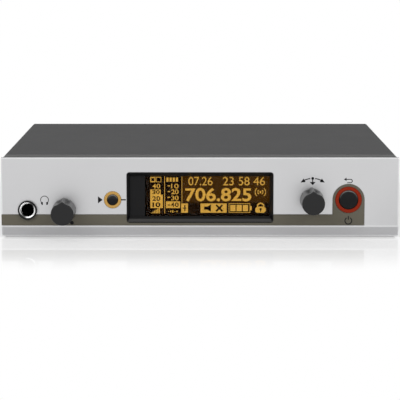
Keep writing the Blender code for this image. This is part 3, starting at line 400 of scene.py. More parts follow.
def painted_steel(name):
    return surface(
        name, (0.044, 0.044, 0.045), 0.7, specular=0.12, grain=0.0004, depth=0.00003, tint=0.16)


def painted_cover():
    """The cover's paint, with a painted highlight on the end of its sheet."""
    material = painted_steel("painted_cover")
    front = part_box("top_cover")[0].y
    recolour(material, "Y", (front - BAND_MARGIN, front + COVER_END), COVER_END_HIGHLIGHT_COLOUR)
    return material


# Black plastic; faces that look up, such as the bezel's lower slope, turn pale by dust and a painted
# highlight
def black_plastic(name, dust_and_top_light=0.1):
    return surface(
        name, (0.008, 0.008, 0.0085), 0.36, specular=0.11, depth=0.000006, tint=0.15, dust_and_top_light=dust_and_top_light)


def bezel_plastic():
    """Black plastic with painted shade on its sill next to the window."""
    material = black_plastic("bezel_plastic")
    recolour(material, "Z", SILL_SHADE_BAND, SILL_SHADE_COLOUR)
    return material


def display_panel():
    """The dark panel behind the dots, with a faint warm glow over its upper right part."""
    material = surface(
        "display_glass", (0.02, 0.008, 0.0015), 0.35, specular=0.02, grain=0.0003, depth=0.000002)
    tree = material.node_tree
    right = smooth_rise(tree, along(tree, "X"), GLOW_LEFT, GLOW_LEFT + GLOW_EDGE)
    upper = smooth_rise(tree, along(tree, "Z"), GLOW_BOTTOM, GLOW_BOTTOM + GLOW_EDGE)
    glow = mixed_colour(tree, maths(tree, "MULTIPLY", right, upper), (0.0, 0.0, 0.0, 1.0), GLOW_COLOUR)
    set_shader(material, {"Emission Color": glow, "Emission Strength": 1.0})
    return material


def plated_steel(name, roughness):
    return surface(
        name, (0.6, 0.6, 0.58), roughness, metallic=1.0, grain=0.00025, cloud=0.006, depth=0.000003,
        tint=0.06, smudge=0.12)


def network_shell():
    """A plated shell that is dark inside."""
    material = plated_steel("network_shell", 0.3)
    low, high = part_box("network_socket")
    recolour(material, "Y", (low.y, high.y - NETWORK_RIM), INSIDE_SHADE, "MULTIPLY")
    return material


def chrome(name, roughness):
    return surface(
        name, (0.86, 0.86, 0.86), roughness, metallic=1.0, grain=0.0004, cloud=0.004, depth=0.000002,
        tint=0.03, smudge=0.05)


def chrome_with_painted_reflection(centre):
    """Bright turned metal with a painted reflection: sectors of light and dark round a centre on the front.
    """
    material = chrome("chrome_with_painted_reflection", 0.14)
    tree = material.node_tree
    arm = vector_maths(tree, "SUBTRACT", object_place(tree), centre)
    across = add_node(tree, "ShaderNodeSeparateXYZ", {0: arm})
    angle = maths(tree, "ARCTAN2", across.outputs["Z"], across.outputs["X"])
    wave = maths(tree, "COSINE", maths(tree, "MULTIPLY_ADD", angle, SECTOR_COUNT, SECTOR_TURN))
    light = smooth_rise(tree, wave, -1.0, SECTOR_LIGHT, SECTOR_LEAST)
    shade_finish(material, 1.0, light, "MULTIPLY")
    return material


# Finishes by material slot
FINISHES = {
    "satin_aluminium": satin_faceplate(),
    "olive_inlay": surface(
        "olive_inlay", (0.105, 0.096, 0.072), 0.5, specular=0.25, grain=0.00015, depth=0.000004, tint=0.08),
    "painted_steel": painted_steel("painted_steel"),
    "tray_steel": surface(
        "tray_steel", (0.5, 0.5, 0.49), 0.4, metallic=1.0, grain=0.0003, cloud=0.012, depth=0.000004,
        tint=0.08, stretch=(0.05, 1.0, 1.0)),
    "dark_plastic": surface("dark_plastic", (0.055, 0.055, 0.055), 0.55, specular=0.2, grain=0.00025),
    "black_plastic": black_plastic("black_plastic"),
    "knob_plastic": surface(
        "knob_plastic", (0.0098, 0.0098, 0.0102), 0.3, specular=0.27, grain=0.00022, depth=0.000006,
        tint=0.12, dust_and_top_light=0.02),
    "smoked_lens": smoked_lens(),
    "display_glass": display_panel(),
    "chrome": chrome("chrome", 0.09),
    "plated_steel": plated_steel("plated_steel", 0.27),
    "brass": surface(
        "brass", (0.75, 0.55, 0.24), 0.22, metallic=1.0, cloud=0.004, depth=0.000002, tint=0.06),
    "amber_guide": surface(
        "amber_guide", (0.44, 0.25, 0.052), 0.35, specular=0.35, grain=0.0004, cloud=0.003, depth=0.000003,
        tint=0.08, coat=0.2, glow=0.06),
    "red_guide": surface(
        "red_guide", (0.205, 0.015, 0.003), 0.35, specular=0.1, grain=0.0004, cloud=0.003, depth=0.000003,
        tint=0.08, glow=0.08),
    "green_board": surface(
        "green_board", (0.02, 0.1, 0.035), 0.4, grain=0.0006, cloud=0.006, depth=0.00002, tint=0.25),
    "grey_ribbon": surface(
        "grey_ribbon", (0.32, 0.32, 0.33), 0.55, grain=0.0008, depth=0.00003, tint=0.15,
        stretch=(1.0, 0.02, 0.02)),
    "rubber": surface(
        "rubber", (0.018, 0.018, 0.018), 0.85, specular=0.25, grain=0.0003, depth=0.00003, tint=0.2),
}
# Finishes that stand in for a slot's own on some pieces
COVER_PAINT = painted_cover()
# Key caps: their up-facing rims turn much paler, a painted highlight with some dust
KEY_PLASTIC = black_plastic("key_plastic", dust_and_top_light=0.5)
BEZEL_PLASTIC = bezel_plastic()
PALE_PLASTIC = surface(
    "pale_plastic", (0.62, 0.6, 0.55), 0.5, specular=0.3, grain=0.0003, cloud=0.003, tint=0.06)
DARK_PRINT = surface("dark_print", (0.006, 0.006, 0.007), 0.6, specular=0.1, grain=0.00015, tint=0.15)
LIGHT_PRINT = surface("light_print", (0.55, 0.55, 0.54), 0.6, specular=0.2, grain=0.00015)
LIT_DOTS = surface(
    "lit_dots", (0.6, 0.365, 0.06), 0.5, specular=0.1, grain=0.0006, cloud=0.008, tint=0.12, glow=1.2)


# Mesh helpers

def centre_of(node):
    low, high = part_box(node)
    return (low + high) / 2


def merged_copy(node):
    """A CAD node's shape with its loose triangles merged and its flat faces joined."""
    work = bmesh.new()
    work.from_mesh(frame["nodes"][node].data)
    bmesh.ops.remove_doubles(work, verts=work.verts, dist=SNAP)
    bmesh.ops.dissolve_limit(work, angle_limit=math.radians(FLAT_DEGREES), verts=work.verts, edges=work.edges)
    return work


def round_edges(work, width):
    sharp = [edge for edge in work.edges if math.degrees(edge.calc_face_angle(0)) > EDGE_DEGREES]
    bmesh.ops.bevel(
        work, geom=sharp, offset=width, offset_type="OFFSET", segments=EDGE_SEGMENTS, profile=0.5,
        affect="EDGES", clamp_overlap=True)


def to_mesh(name, work):
    bmesh.ops.recalc_face_normals(work, faces=work.faces)
    mesh = bpy.data.meshes.new(name)
    work.to_mesh(mesh)
    work.free()
    return mesh


def linked(name, data):
    """A new object in the scene."""
    made = bpy.data.objects.new(name, data)
    bpy.context.scene.collection.objects.link(made)
    return made


def baked(piece):
    """The mesh of an object with its modifiers applied."""
    return bpy.data.meshes.new_from_object(piece.evaluated_get(bpy.context.evaluated_depsgraph_get()))


def mesh_from(holder):
    """The mesh of an object that is there only to make it, and then goes."""
    mesh = baked(holder)
    bpy.data.objects.remove(holder)
    return mesh


def add_piece(name, mesh, slot, stands_for=(), body="chassis", material=None):
    """Puts a finished mesh in the scene: shaded, in its finish, and riding on its body."""
    mesh.shade_smooth()
    mesh.set_sharp_from_angle(angle=math.radians(SHARP_DEGREES))
    piece = linked(name, mesh)
    flat = piece.modifiers.new("flat_faces", "WEIGHTED_NORMAL")
    flat.keep_sharp = True
    piece.data = baked(piece)
    piece.modifiers.clear()
    upward = piece.data.attributes.new(UPWARD, "FLOAT", "CORNER")
    upward.data.foreach_set("value", [max(0.0, normal.vector.z) for normal in piece.data.corner_normals])
    piece.data.materials.clear()
    piece.data.materials.append(material or FINISHES[slot])
    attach(piece, body)
    if stands_for:
        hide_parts(*stands_for)


def rounded_copy(node, width, split=False, material=None):
    """A CAD node with its edges rounded; split first cuts faces round an opening into convex ones."""
    work = merged_copy(node)
    if split:
        bmesh.ops.connect_verts_concave(work, faces=work.faces)
    round_edges(work, width)
    add_piece(f"{node}_fine", to_mesh(node, work), SLOTS[node], [node], material=material)


def axes(right, up, outward, origin):
    """A frame at an origin, along three directions."""
    return Matrix.Translation(origin) @ Matrix((right, up, outward)).transposed().to_4x4()


def seat(node, outward):
    """A frame on a node's axis, at its outermost face, with z outwards."""
    low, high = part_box(node)
    radial = Vector((0, 1, 0)) if outward.x else Vector((1, 0, 0))
    reach = max(outward.dot(low), outward.dot(high))
    middle = (low + high) / 2
    origin = middle + outward * (reach - outward.dot(middle))
    return axes(radial, outward.cross(radial), outward, origin)


def section_of(node, outward):
    """A turned CAD node's half-section: its (radius, height) points in order, and whether they close."""
    work = merged_copy(node)
    bmesh.ops.transform(work, matrix=seat(node, outward).inverted(), verts=work.verts)
    for normal, drop in (((1, 0, 0), True), ((0, 1, 0), False)):
        cut = bmesh.ops.bisect_plane(
            work, geom=[*work.verts, *work.edges, *work.faces], dist=SNAP, plane_co=(0, 0, 0),
            plane_no=normal, clear_inner=drop)["geom_cut"]
    links = {}
    for item in cut:
        if isinstance(item, bmesh.types.BMEdge):
            first, second = item.verts
            links.setdefault(first, []).append(second)
            links.setdefault(second, []).append(first)
    ends = [vert for vert, near in links.items() if len(near) == 1]
    chain = [max(ends or links, key=lambda vert: vert.co.z)]
    while True:
        onward = [vert for vert in links[chain[-1]] if vert not in chain]
        if not onward:
            break
        chain.append(onward[0])
    points = [(vert.co.x, vert.co.z) for vert in chain]
    work.free()
    return points, not ends


def lathe(name, points, closed, width, steps=ROUND_STEPS):
    """Turns (radius, height) points about the z axis and rounds the edges."""
    work = bmesh.new()
    verts = [work.verts.new((radius, 0, height)) for radius, height in points]
    following = verts[1:] + verts[:1] if closed else verts[1:]
    edges = [work.edges.new(pair) for pair in zip(verts, following)]
    bmesh.ops.spin(
        work, geom=[*verts, *edges], cent=(0, 0, 0), axis=(0, 0, 1), angle=math.tau, steps=steps,
        use_merge=True)
    bmesh.ops.remove_doubles(work, verts=work.verts, dist=SNAP)
    bmesh.ops.dissolve_degenerate(work, edges=work.edges, dist=SNAP)
    round_edges(work, width)
    return to_mesh(name, work)


def turned_mesh(node, outward, width, steps=ROUND_STEPS):
    """A turned CAD node with finer sides and rounded edges, about z with its outermost face at zero."""
    points, closed = section_of(node, outward)
    return lathe(node, points, closed, width, steps)


def turned_piece(node, outward, width, body="chassis", material=None):
    """A turned CAD node with finer sides and rounded edges, in its place."""
    mesh = turned_mesh(node, outward, width)
    mesh.transform(seat(node, outward))
    add_piece(f"{node}_fine", mesh, SLOTS[node], [node], body, material)


def loft(name, rings):
    """A closed skin through rings of points."""
    work = bmesh.new()
    rows = [[work.verts.new(point) for point in ring] for ring in rings]
    work.faces.new(rows[0])
    work.faces.new(rows[-1])
    for near, far in zip(rows, rows[1:]):
        for i in range(len(near)):
            work.faces.new((near[i - 1], near[i], far[i], far[i - 1]))
    return to_mesh(name, work)


# Geometry Nodes trees

def run_tree(tree, mesh, values):
    """Runs a tree on a mesh with its inputs set by name, and returns the mesh that it makes."""
    holder = linked("holder", mesh)
    modifier = holder.modifiers.new("grow", "NODES")
    modifier.node_group = tree
    for item in tree.interface.items_tree:
        if item.in_out == "INPUT" and item.name in values:
            modifier[item.identifier] = values[item.name]
    return mesh_from(holder)


def mesh_group(name, values):
    """An empty group that takes a mesh, named values and a material, and gives a mesh."""
    return new_group(
        name, "GeometryNodeTree", {"Geometry": "Geometry", **values, "Material": "Material"},
        {"Geometry": "Geometry"})


def close_tree(tree, given, result, geometry):
    """Ends a tree: real geometry in the material that was given."""
    real = add_node(tree, "GeometryNodeRealizeInstances", {"Geometry": geometry})
    painted = add_node(
        tree, "GeometryNodeSetMaterial",
        {"Geometry": real.outputs["Geometry"], "Material": given.outputs["Material"]})
    tree.links.new(painted.outputs["Geometry"], result.inputs["Geometry"])


def row_tree():
    """A straight row of copies of a mesh."""
    tree, given, result = mesh_group("row_of_copies", {"Count": "Int", "Step": "Vector"})
    line = add_node(
        tree, "GeometryNodeMeshLine", {"Count": given.outputs["Count"], "Offset": given.outputs["Step"]},
        mode="OFFSET")
    copies = add_node(
        tree, "GeometryNodeInstanceOnPoints",
        {"Points": line.outputs["Mesh"], "Instance": given.outputs["Geometry"]})
    close_tree(tree, given, result, copies.outputs["Instances"])
    return tree


def recess_tree():
    """A screw head with a cross recess in its top, which lies at height zero."""
    tree, given, result = mesh_group(
        "cross_recess", {"Span": "Float", "Slot Width": "Float", "Depth": "Float"})
    height = maths(tree, "MULTIPLY", given.outputs["Depth"], 2.0)
    size = add_node(
        tree, "ShaderNodeCombineXYZ",
        {"X": given.outputs["Span"], "Y": given.outputs["Slot Width"], "Z": height})
    slot = add_node(tree, "GeometryNodeMeshCube", {"Size": size.outputs[0]})
    turned = add_node(
        tree, "GeometryNodeTransform", {"Geometry": slot.outputs["Mesh"], "Rotation": (0, 0, math.pi / 2)})
    cut = add_node(
        tree, "GeometryNodeMeshBoolean",
        {"Mesh 1": given.outputs["Geometry"], "Mesh 2": turned.outputs["Geometry"]},
        operation="DIFFERENCE", solver="EXACT")
    tree.links.new(slot.outputs["Mesh"], cut.inputs["Mesh 2"])
    close_tree(tree, given, result, cut.outputs["Mesh"])
    return tree


def dots_tree():
    """A grid of square dots, lit where the drawing under them shows its lower layer."""
    tree, given, result = mesh_group(
        "lit_dots",
        {"Pitch": "Float", "Fill": "Float", "Thickness": "Float", "Columns": "Int", "Rows": "Int"})
    sockets = given.outputs

    def span(count, less):
        return maths(tree, "MULTIPLY", maths(tree, "SUBTRACT", sockets[count], less), sockets["Pitch"])

    grid = add_node(
        tree, "GeometryNodeMeshGrid",
        {"Size X": span("Columns", 1.0), "Size Y": span("Rows", 1.0), "Vertices X": sockets["Columns"],
         "Vertices Y": sockets["Rows"]})
    whole = add_node(tree, "ShaderNodeCombineXYZ", {"X": span("Columns", 0.0), "Y": span("Rows", 0.0)})
    half = vector_maths(tree, "MULTIPLY", whole.outputs[0], (0.5, 0.5, 0.5))
    placed = add_node(
        tree, "GeometryNodeTransform", {"Geometry": grid.outputs["Mesh"], "Translation": half})
    position = add_node(tree, "GeometryNodeInputPosition")
    above = vector_maths(tree, "ADD", position.outputs[0], (0, 0, 1))
    ray = add_node(
        tree, "GeometryNodeRaycast",
        {"Target Geometry": sockets["Geometry"], "Source Position": above, "Ray Direction": (0, 0, -1),
         "Ray Length": 2.0})
    height = add_node(tree, "ShaderNodeSeparateXYZ", {0: ray.outputs["Hit Position"]})
    lower = add_node(
        tree, "FunctionNodeCompare", {"A": height.outputs["Z"], "B": UNLIT_LAYER / 2}, operation="LESS_THAN")
    lit = add_node(tree, "FunctionNodeBooleanMath", {0: ray.outputs["Is Hit"], 1: lower.outputs[0]})
    chosen = add_node(
        tree, "GeometryNodeSeparateGeometry",
        {"Geometry": placed.outputs["Geometry"], "Selection": lit.outputs[0]}, domain="POINT")
    side = maths(tree, "MULTIPLY", sockets["Pitch"], sockets["Fill"])
    size = add_node(tree, "ShaderNodeCombineXYZ", {"X": side, "Y": side, "Z": sockets["Thickness"]})
    dot = add_node(tree, "GeometryNodeMeshCube", {"Size": size.outputs[0]})
    copies = add_node(
        tree, "GeometryNodeInstanceOnPoints",
        {"Points": chosen.outputs["Selection"], "Instance": dot.outputs["Mesh"]})
    close_tree(tree, given, result, copies.outputs["Instances"])
    return tree


ROW = row_tree()
RECESS = recess_tree()
DOTS = dots_tree()


def row_piece(name, mesh, nodes, outward, slot, stands_for=(), material=None):
    """Two copies of a mesh that is made about z, one on the outermost face of each node."""
    mesh.transform(seat(nodes[0], outward))
    step = centre_of(nodes[1]) - centre_of(nodes[0])
    made = run_tree(ROW, mesh, {"Count": 2, "Step": step, "Material": material or FINISHES[slot]})
    add_piece(name, made, slot, stands_for, material=material)


def screw_row(name, nodes, outward, recess):
    """Two screws with a cross recess."""
    slot = SLOTS[nodes[0]]
    head = turned_mesh(nodes[0], outward, FINE_EDGE, SMALL_STEPS)
    cut = run_tree(RECESS, head, {**recess, "Material": FINISHES[slot]})
    row_piece(name, cut, nodes, outward, slot, nodes)


# Flat drawings: prints and the display's layers

def face_matrix(outward, origin):
    """A frame on a face, with x to the right and y up as seen from outside."""
    return axes(UP.cross(outward), UP, outward, origin)


def arc(x, y, radius, start, end):
    angles = [math.radians(start + (end - start) * i / ARC_STEPS) for i in range(ARC_STEPS + 1)]
    return [(x + radius * math.cos(a), y + radius * math.sin(a)) for a in angles]


def disc(x, y, radius):
    return arc(x, y, radius, 0, 360)[:-1]


def box_outline(left, bottom, right, top):
    return [(left, bottom), (right, bottom), (right, top), (left, top)]


def bar(x, y, width, height):
    """A box round a middle."""
    return box_outline(x - width / 2, y - height / 2, x + width / 2, y + height / 2)


def bow(x, y, radius, width, start, end):
    """A thick arc."""
    return arc(x, y, radius + width / 2, start, end) + arc(x, y, radius - width / 2, end, start)


def arrowhead(x, y, angle, length, half_width):
    """A triangle whose tip is at (x, y), pointing along an angle in degrees."""
    turn = math.radians(angle)
    onward = Vector((math.cos(turn), math.sin(turn)))
    across = Vector((-onward.y, onward.x))
    tip = Vector((x, y))
    back = tip - onward * length
    return [tuple(tip), tuple(back + across * half_width), tuple(back - across * half_width)]


def flat_shape(name, outline, thickness=0.0):
    """Fills an outline. The shape lies on z = 0, and any thickness is above it."""
    curve = bpy.data.curves.new(name, "CURVE")
    curve.dimensions = "2D"
    curve.fill_mode = "BOTH"
    curve.extrude = thickness / 2
    spline = curve.splines.new("POLY")
    spline.points.add(len(outline) - 1)
    for point, (x, y) in zip(spline.points, outline):
        point.co = (x, y, 0, 1)
    spline.use_cyclic_u = True
    mesh = mesh_from(linked(name, curve))
    mesh.transform(Matrix.Translation((0, 0, thickness / 2)))
    return mesh


def add_print(name, outlines, outward, face, slot, material):
    """Printed strokes as seen from outside, on a face whose place along y is given."""
    work = bmesh.new()
    for outline in outlines:
        stroke = bmesh.new()
        stroke.from_mesh(flat_shape(name, outline, PRINT_THICKNESS))
        bmesh.ops.remove_doubles(stroke, verts=stroke.verts, dist=SNAP / 10)
        work.from_mesh(to_mesh(name, stroke))
    mesh = to_mesh(name, work)
    mesh.transform(face_matrix(outward, (0, face, 0)))
    add_piece(name, mesh, slot, material=material)


# Case and faceplate

def make_case():
    rounded_copy("faceplate", PLATE_EDGE)
    rounded_copy("inlay_band", THIN_EDGE)
    rounded_copy("front_frame", SOFT_EDGE)
    rounded_copy("top_cover", SOFT_EDGE, material=COVER_PAINT)
    rounded_copy("base_tray", FINE_EDGE)
    rounded_copy("rear_panel", FINE_EDGE)
    for side, outward in (("left", LEFT), ("right", RIGHT)):
        nodes = [f"side_screw_{side}_front", f"side_screw_{side}_rear"]
        screw_row(f"side_screws_{side}", nodes, outward, SIDE_RECESS)
    screw_row("rear_screws", ["rear_screw_left", "rear_screw_right"], REAR, REAR_RECESS)
    for end in ("front", "rear"):
        nodes = [f"foot_{end}_left", f"foot_{end}_right"]
        mesh = turned_mesh(nodes[0], DOWN, SOFT_EDGE, FOOT_STEPS)
        row_piece(f"feet_{end}", mesh, nodes, DOWN, SLOTS[nodes[0]], nodes)


# Controls

def knob_radius(angle, radius, rise, scoop):
    """A round knob with a raised pointer at angle zero and a scoop on each side of it."""
    share = max(0.0, 1 - abs(angle) / POINTER_HALF_ANGLE)
    return radius + rise * share ** 3 - scoop * math.sin(math.pi * share)


def scoop_depth(share):
    """How deep the scoops are at a share of the way from the knob's base to its front."""
    if share > SCOOP_DEEPEST_AT:
        onward = (share - SCOOP_DEEPEST_AT) / (1 - SCOOP_DEEPEST_AT)
        return SCOOP_DEEPEST + (SCOOP_FRONT - SCOOP_DEEPEST) * onward
    turn = math.pi * max(0.0, share - SCOOP_START) / (SCOOP_DEEPEST_AT - SCOOP_START)
    return SCOOP_BASE + (SCOOP_DEEPEST - SCOOP_BASE) * (1 - math.cos(turn)) / 2


def make_knob(node, nut, body):
    """The knob's skin from its bore, round its base and side, to its front."""
    angles = [math.tau * i / KNOB_STEPS - math.pi for i in range(KNOB_STEPS)]
    levels = [
        ([radius] * KNOB_STEPS, height) for radius, height in (
            (KNOB_BORE_RADIUS, KNOB_BORE_TOP), (KNOB_BORE_RADIUS, KNOB_RECESS_TOP),
            (KNOB_RECESS_RADIUS, KNOB_RECESS_TOP), (KNOB_RECESS_RADIUS, KNOB_LIFT))
    ]

    def add_level(height, share, inset):
        form = {key: value + (KNOB_FRONT[key] - value) * share for key, value in KNOB_BASE.items()}
        form["radius"] -= inset
        scoop = scoop_depth(share)
        levels.append(([knob_radius(angle, scoop=scoop, **form) for angle in angles], height))

    edge_start = KNOB_PROUD - KNOB_EDGE
    for i in range(KNOB_LEVELS + 1):
        share = i / KNOB_LEVELS
        add_level(KNOB_LIFT + (edge_start - KNOB_LIFT) * share, share, 0.0)
    for i in range(1, KNOB_EDGE_LEVELS + 1):
        turn = math.pi / 2 * i / KNOB_EDGE_LEVELS
        add_level(edge_start + KNOB_EDGE * math.sin(turn), 1.0, KNOB_EDGE * (1 - math.cos(turn)))
    mesh = loft(node, [
        [(radius * math.sin(angle), radius * math.cos(angle), height)
         for angle, radius in zip(angles, radii)]
        for radii, height in levels
    ])
    middle = centre_of(nut)
    mesh.transform(face_matrix(FRONT, (middle.x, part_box("inlay_band")[0].y, middle.z)))
    add_piece(f"{node}_fine", mesh, SLOTS[node], [node], body)


def make_controls():
    make_knob("volume_knob", "volume_nut", "volume_control")
    make_knob("jog_knob", "jog_nut", "jog_control")
    turned_piece("sync_ring", FRONT, SOFT_EDGE)
    turned_piece("power_ring", FRONT, SOFT_EDGE)
    for key in ("sync", "power"):
        turned_piece(f"{key}_button", FRONT, KEY_EDGE, f"{key}_key", KEY_PLASTIC)
    turned_piece("phones_nut", FRONT, SOFT_EDGE)
    # The bush's light and dark sectors are a painted reflection
    bush = chrome_with_painted_reflection(centre_of("phones_ferrule"))
    turned_piece("phones_ferrule", FRONT, FERRULE_EDGE, material=bush)
    turned_piece("line_out_nut", REAR, SOFT_EDGE)
    turned_piece("line_out_ferrule", REAR, FINE_EDGE)


# Display

def hollow_box(left, bottom, right, top):
    """The four sides of a box whose lines are one dot wide."""
    return [
        box_outline(left, bottom, right, bottom + 1), box_outline(left, top - 1, right, top),
        box_outline(left, bottom, left + 1, top), box_outline(right - 1, bottom, right, top),
    ]


def slanted(x, y, end_x, end_y, width):
    """A slanted stroke between two places."""
    across = Vector((y - end_y, end_x - x)).normalized() * width / 2
    return [
        (x + across.x, y + across.y), (x - across.x, y - across.y),
        (end_x - across.x, end_y - across.y), (end_x + across.x, end_y + across.y),
    ]


def digits(text, left, bottom, width, height, bold=0.0):
    """Plain digits, stretched to a box; bold widens their strokes."""
    curve = bpy.data.curves.new("digits", "FONT")
    curve.body = text
    curve.offset = bold
    mesh = mesh_from(linked("digits", curve))
    low = [min(vert.co[i] for vert in mesh.vertices) for i in range(2)]
    high = [max(vert.co[i] for vert in mesh.vertices) for i in range(2)]
    stretch = [size / (b - a) for size, a, b in zip((width, height), low, high)]
    mesh.transform(Matrix.Translation((left, bottom, 0)) @ Matrix.Diagonal((*stretch, 1, 1))
                   @ Matrix.Translation((-low[0], -low[1], 0)))
    return mesh


def drawing_layer(outlines, numbers, height):
    """A layer of the display's drawing, at a height."""
    work = bmesh.new()
    for outline in outlines:
        work.from_mesh(flat_shape("layer", outline))
    for number in numbers:
        work.from_mesh(digits(*number))
    bmesh.ops.translate(work, verts=work.verts, vec=(0, 0, height))
    return to_mesh("layer", work)


def display_drawing():
    """The display's layers, measured in dots: what is lit, and above it what is switched off."""
    signal = (213.5, 43)
    lit = [
        # Two boxes over the first level's blocks
        box_outline(3, 62, 13, 72), *hollow_box(14, 62, 24, 72),
        box_outline(3, 12, 27, 38), box_outline(3, 38, 23, 48),
        # Lines between the fields, and the second level's block
        box_outline(30, 2, 31, 74), box_outline(33, 12, 60, 25), box_outline(63, 22, 64, 74),
        # Fields that hold signs
        box_outline(62, 3, 75, 21), box_outline(99, 3, 149, 21),
        # Battery
        *hollow_box(153, 3, 194, 21), box_outline(194, 8, 197, 16),
        *[box_outline(left, 6, left + 10, 18) for left in (156, 168, 180)],
        # Small bars under and over the levels, and ticks
        *[box_outline(4 + 3 * i, 2, 6 + 3 * i, 3 + 2 * i) for i in range(6)],
        *[box_outline(37 + 4 * i, 5 - i % 3, 39 + 4 * i, 6 + i % 3) for i in range(5)],
        *[box_outline(34 + 6 * i, 63, 38 + 6 * i, 71) for i in range(4)],
        *[box_outline(36, row, 41, row + 2) for row in (54, 43, 32)],
        # Padlock
        [(207, 3), (221, 3), (224, 6), (224, 12), (221, 15), (207, 15), (204, 12), (204, 6)],
        bow(214, 15.3, 6, 2.6, -10, 190),
        # Radio waves on both sides of a dot
        disc(*signal, 2),
        *[bow(*signal, radius, 1.6, middle - half, middle + half)
          for radius, half in ((5, 55), (10, 50)) for middle in (0, 180)],
    ]
    off = [
        # Plus sign
        box_outline(68, 6, 69.5, 18), box_outline(65, 11.3, 72, 12.7),
        # Loudspeaker and cross
        box_outline(106, 9, 112, 15), arrowhead(107, 12, 180, 12, 7),
        slanted(129, 6, 141, 18, 3), slanted(129, 18, 141, 6, 3),
        # Keyhole
        box_outline(213, 5, 215, 10), disc(214, 10, 2.2),
        # Middle of the first box, and a tick
        box_outline(5, 64, 11, 70), box_outline(36, 17, 41, 19),
    ]
    # Each number with its left, bottom, width and height, and how bold it is
    numbers = [
        ("706.825", 70, 25, 126, 26, 0.022), ("07.26", 76, 56, 46, 16), ("23 58 46", 142, 56, 80, 16),
        ("40", 7, 50, 15, 9, 0.01), ("10", 43, 50, 14, 9, 0.01), ("20", 43, 39, 14, 9, 0.01),
        ("30", 43, 27, 14, 9, 0.01),
    ]
    off_numbers = [
        ("30", 7, 39, 14, 8, 0.02), ("20", 7, 26, 15, 9, 0.02), ("10", 7, 14, 15, 9, 0.02),
        ("40", 42, 14, 15, 9, 0.02),
    ]
    work = bmesh.new()
    work.from_mesh(drawing_layer(lit, numbers, 0.0))
    work.from_mesh(drawing_layer(off, off_numbers, UNLIT_LAYER))
    for corner in work.verts:
        corner.co.xy = [place * DOT_PITCH for place in corner.co.xy]
    return to_mesh("display_drawing", work)


def make_display():
    rounded_copy("display_bezel", FINE_EDGE, split=True, material=BEZEL_PLASTIC)
    rounded_copy("display_lens", THIN_EDGE)
    rounded_copy("display_glass", THIN_EDGE)
    lit = run_tree(DOTS, display_drawing(), {
        "Pitch": DOT_PITCH, "Fill": DOT_FILL, "Thickness": DOT_THICKNESS, "Columns": DOT_COLUMNS,
        "Rows": DOT_ROWS, "Material": LIT_DOTS})
    glass_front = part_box("display_glass")[0].y
    lit.transform(face_matrix(FRONT, (DOTS_LEFT, glass_front - DOT_THICKNESS / 2, DOTS_BOTTOM)))
    add_piece("display_dots", lit, "display_glass", material=LIT_DOTS)


# Prints

def headphones(x, y):
    """A headband over two ear cups."""
    band_radius = 0.0021
    band_width = 0.00036
    droop = 30
    cup = (
        (0.0009, -0.0026), (0.0014, -0.0027), (0.0019, -0.0020), (0.0019, -0.0011), (0.0014, -0.0010),
        (0.0009, -0.0012))
    return [
        bow(x, y, band_radius, band_width, -droop, 180 + droop),
        *[[(x + side * right, y + up) for right, up in cup] for side in (-1, 1)],
    ]


def sync_sign():
    """An arrowhead that points to the sync button, and a line from its ring to the display."""
    under_ring = 0.0008
    under_bezel = 0.0007
    line_width = PRINT_LINE * 1.6
    tip_reach = 0.0053
    sync = centre_of("sync_ring")
    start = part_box("sync_ring")[1].x - under_ring
    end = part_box("display_bezel")[0].x + under_bezel
    return [
        bar((start + end) / 2, sync.z, end - start, line_width),
        arrowhead(sync.x - tip_reach, sync.z, 0, 0.0025, 0.0019),
    ]


def turn_sign(x, y):
    """A dot with an arrow down to the knob, between two arrows that bend round it."""
    radius = 0.0105
    gap = 7
    sweep = 30
    tip = math.radians(38)
    stem = 0.0017
    middle_y = y - radius
    outlines = [
        disc(x, y, 0.00075),
        bar(x, y - 0.00135, PRINT_LINE * 1.2, stem),
        arrowhead(x, y - 0.0036, -90, 0.0017, 0.0016),
    ]
    for side in (1, -1):
        tip_x = x - radius * math.sin(tip) * side
        tip_y = middle_y + radius * math.cos(tip)
        outlines += [
            bow(x, middle_y, radius, PRINT_BOLD, 90 + sweep * side, 90 + gap * side),
            arrowhead(tip_x, tip_y, 90 + (90 + sweep) * side, 0.0025, 0.0011),
        ]
    return outlines


def power_sign(x, y):
    """A broken ring with a stroke in its gap."""
    radius = 0.0018
    gap = 32
    stroke_rise = 0.0016
    stroke = 0.002
    return [
        bow(x, y, radius, PRINT_BOLD, 90 + gap, 450 - gap),
        bar(x, y + stroke_rise, PRINT_BOLD, stroke),
    ]


def back_sign(x, y):
    """An arrow that bends back to the left."""
    bend = 0.0009
    upper = 0.0027
    lower = 0.0019
    return [
        bow(x + 0.0010, y, bend, PRINT_LINE, -90, 90),
        bar(x - 0.00025, y + bend, upper, PRINT_LINE),
        bar(x + 0.00015, y - bend, lower, PRINT_LINE),
        arrowhead(x - 0.0026, y + bend, 180, 0.0014, 0.0009),
    ]


def front_prints():
    """Plain pictograms beside the controls."""
    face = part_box("inlay_band")[0].y
    jog = centre_of("jog_nut")
    power = centre_of("power_ring")
    volume = centre_of("volume_nut")
    volume_dot = disc(volume.x + VOLUME_DOT_RIGHT, volume.z - VOLUME_DOT_DROP, VOLUME_DOT_RADIUS)
    for name, outlines, slot in (
            ("phones_mark", headphones(*PHONES_SIGN), "satin_aluminium"),
            ("sync_mark", sync_sign(), "satin_aluminium"),
            ("jog_mark", turn_sign(jog.x + TURN_SIGN_RIGHT, jog.z + TURN_SIGN_RISE), "satin_aluminium"),
            ("power_mark", power_sign(power.x, power.z - POWER_SIGN_DROP), "olive_inlay"),
            ("back_mark", back_sign(power.x, power.z + BACK_SIGN_RISE), "satin_aluminium"),
            ("volume_mark", [volume_dot], "olive_inlay")):
        add_print(name, outlines, FRONT, face, slot, DARK_PRINT)


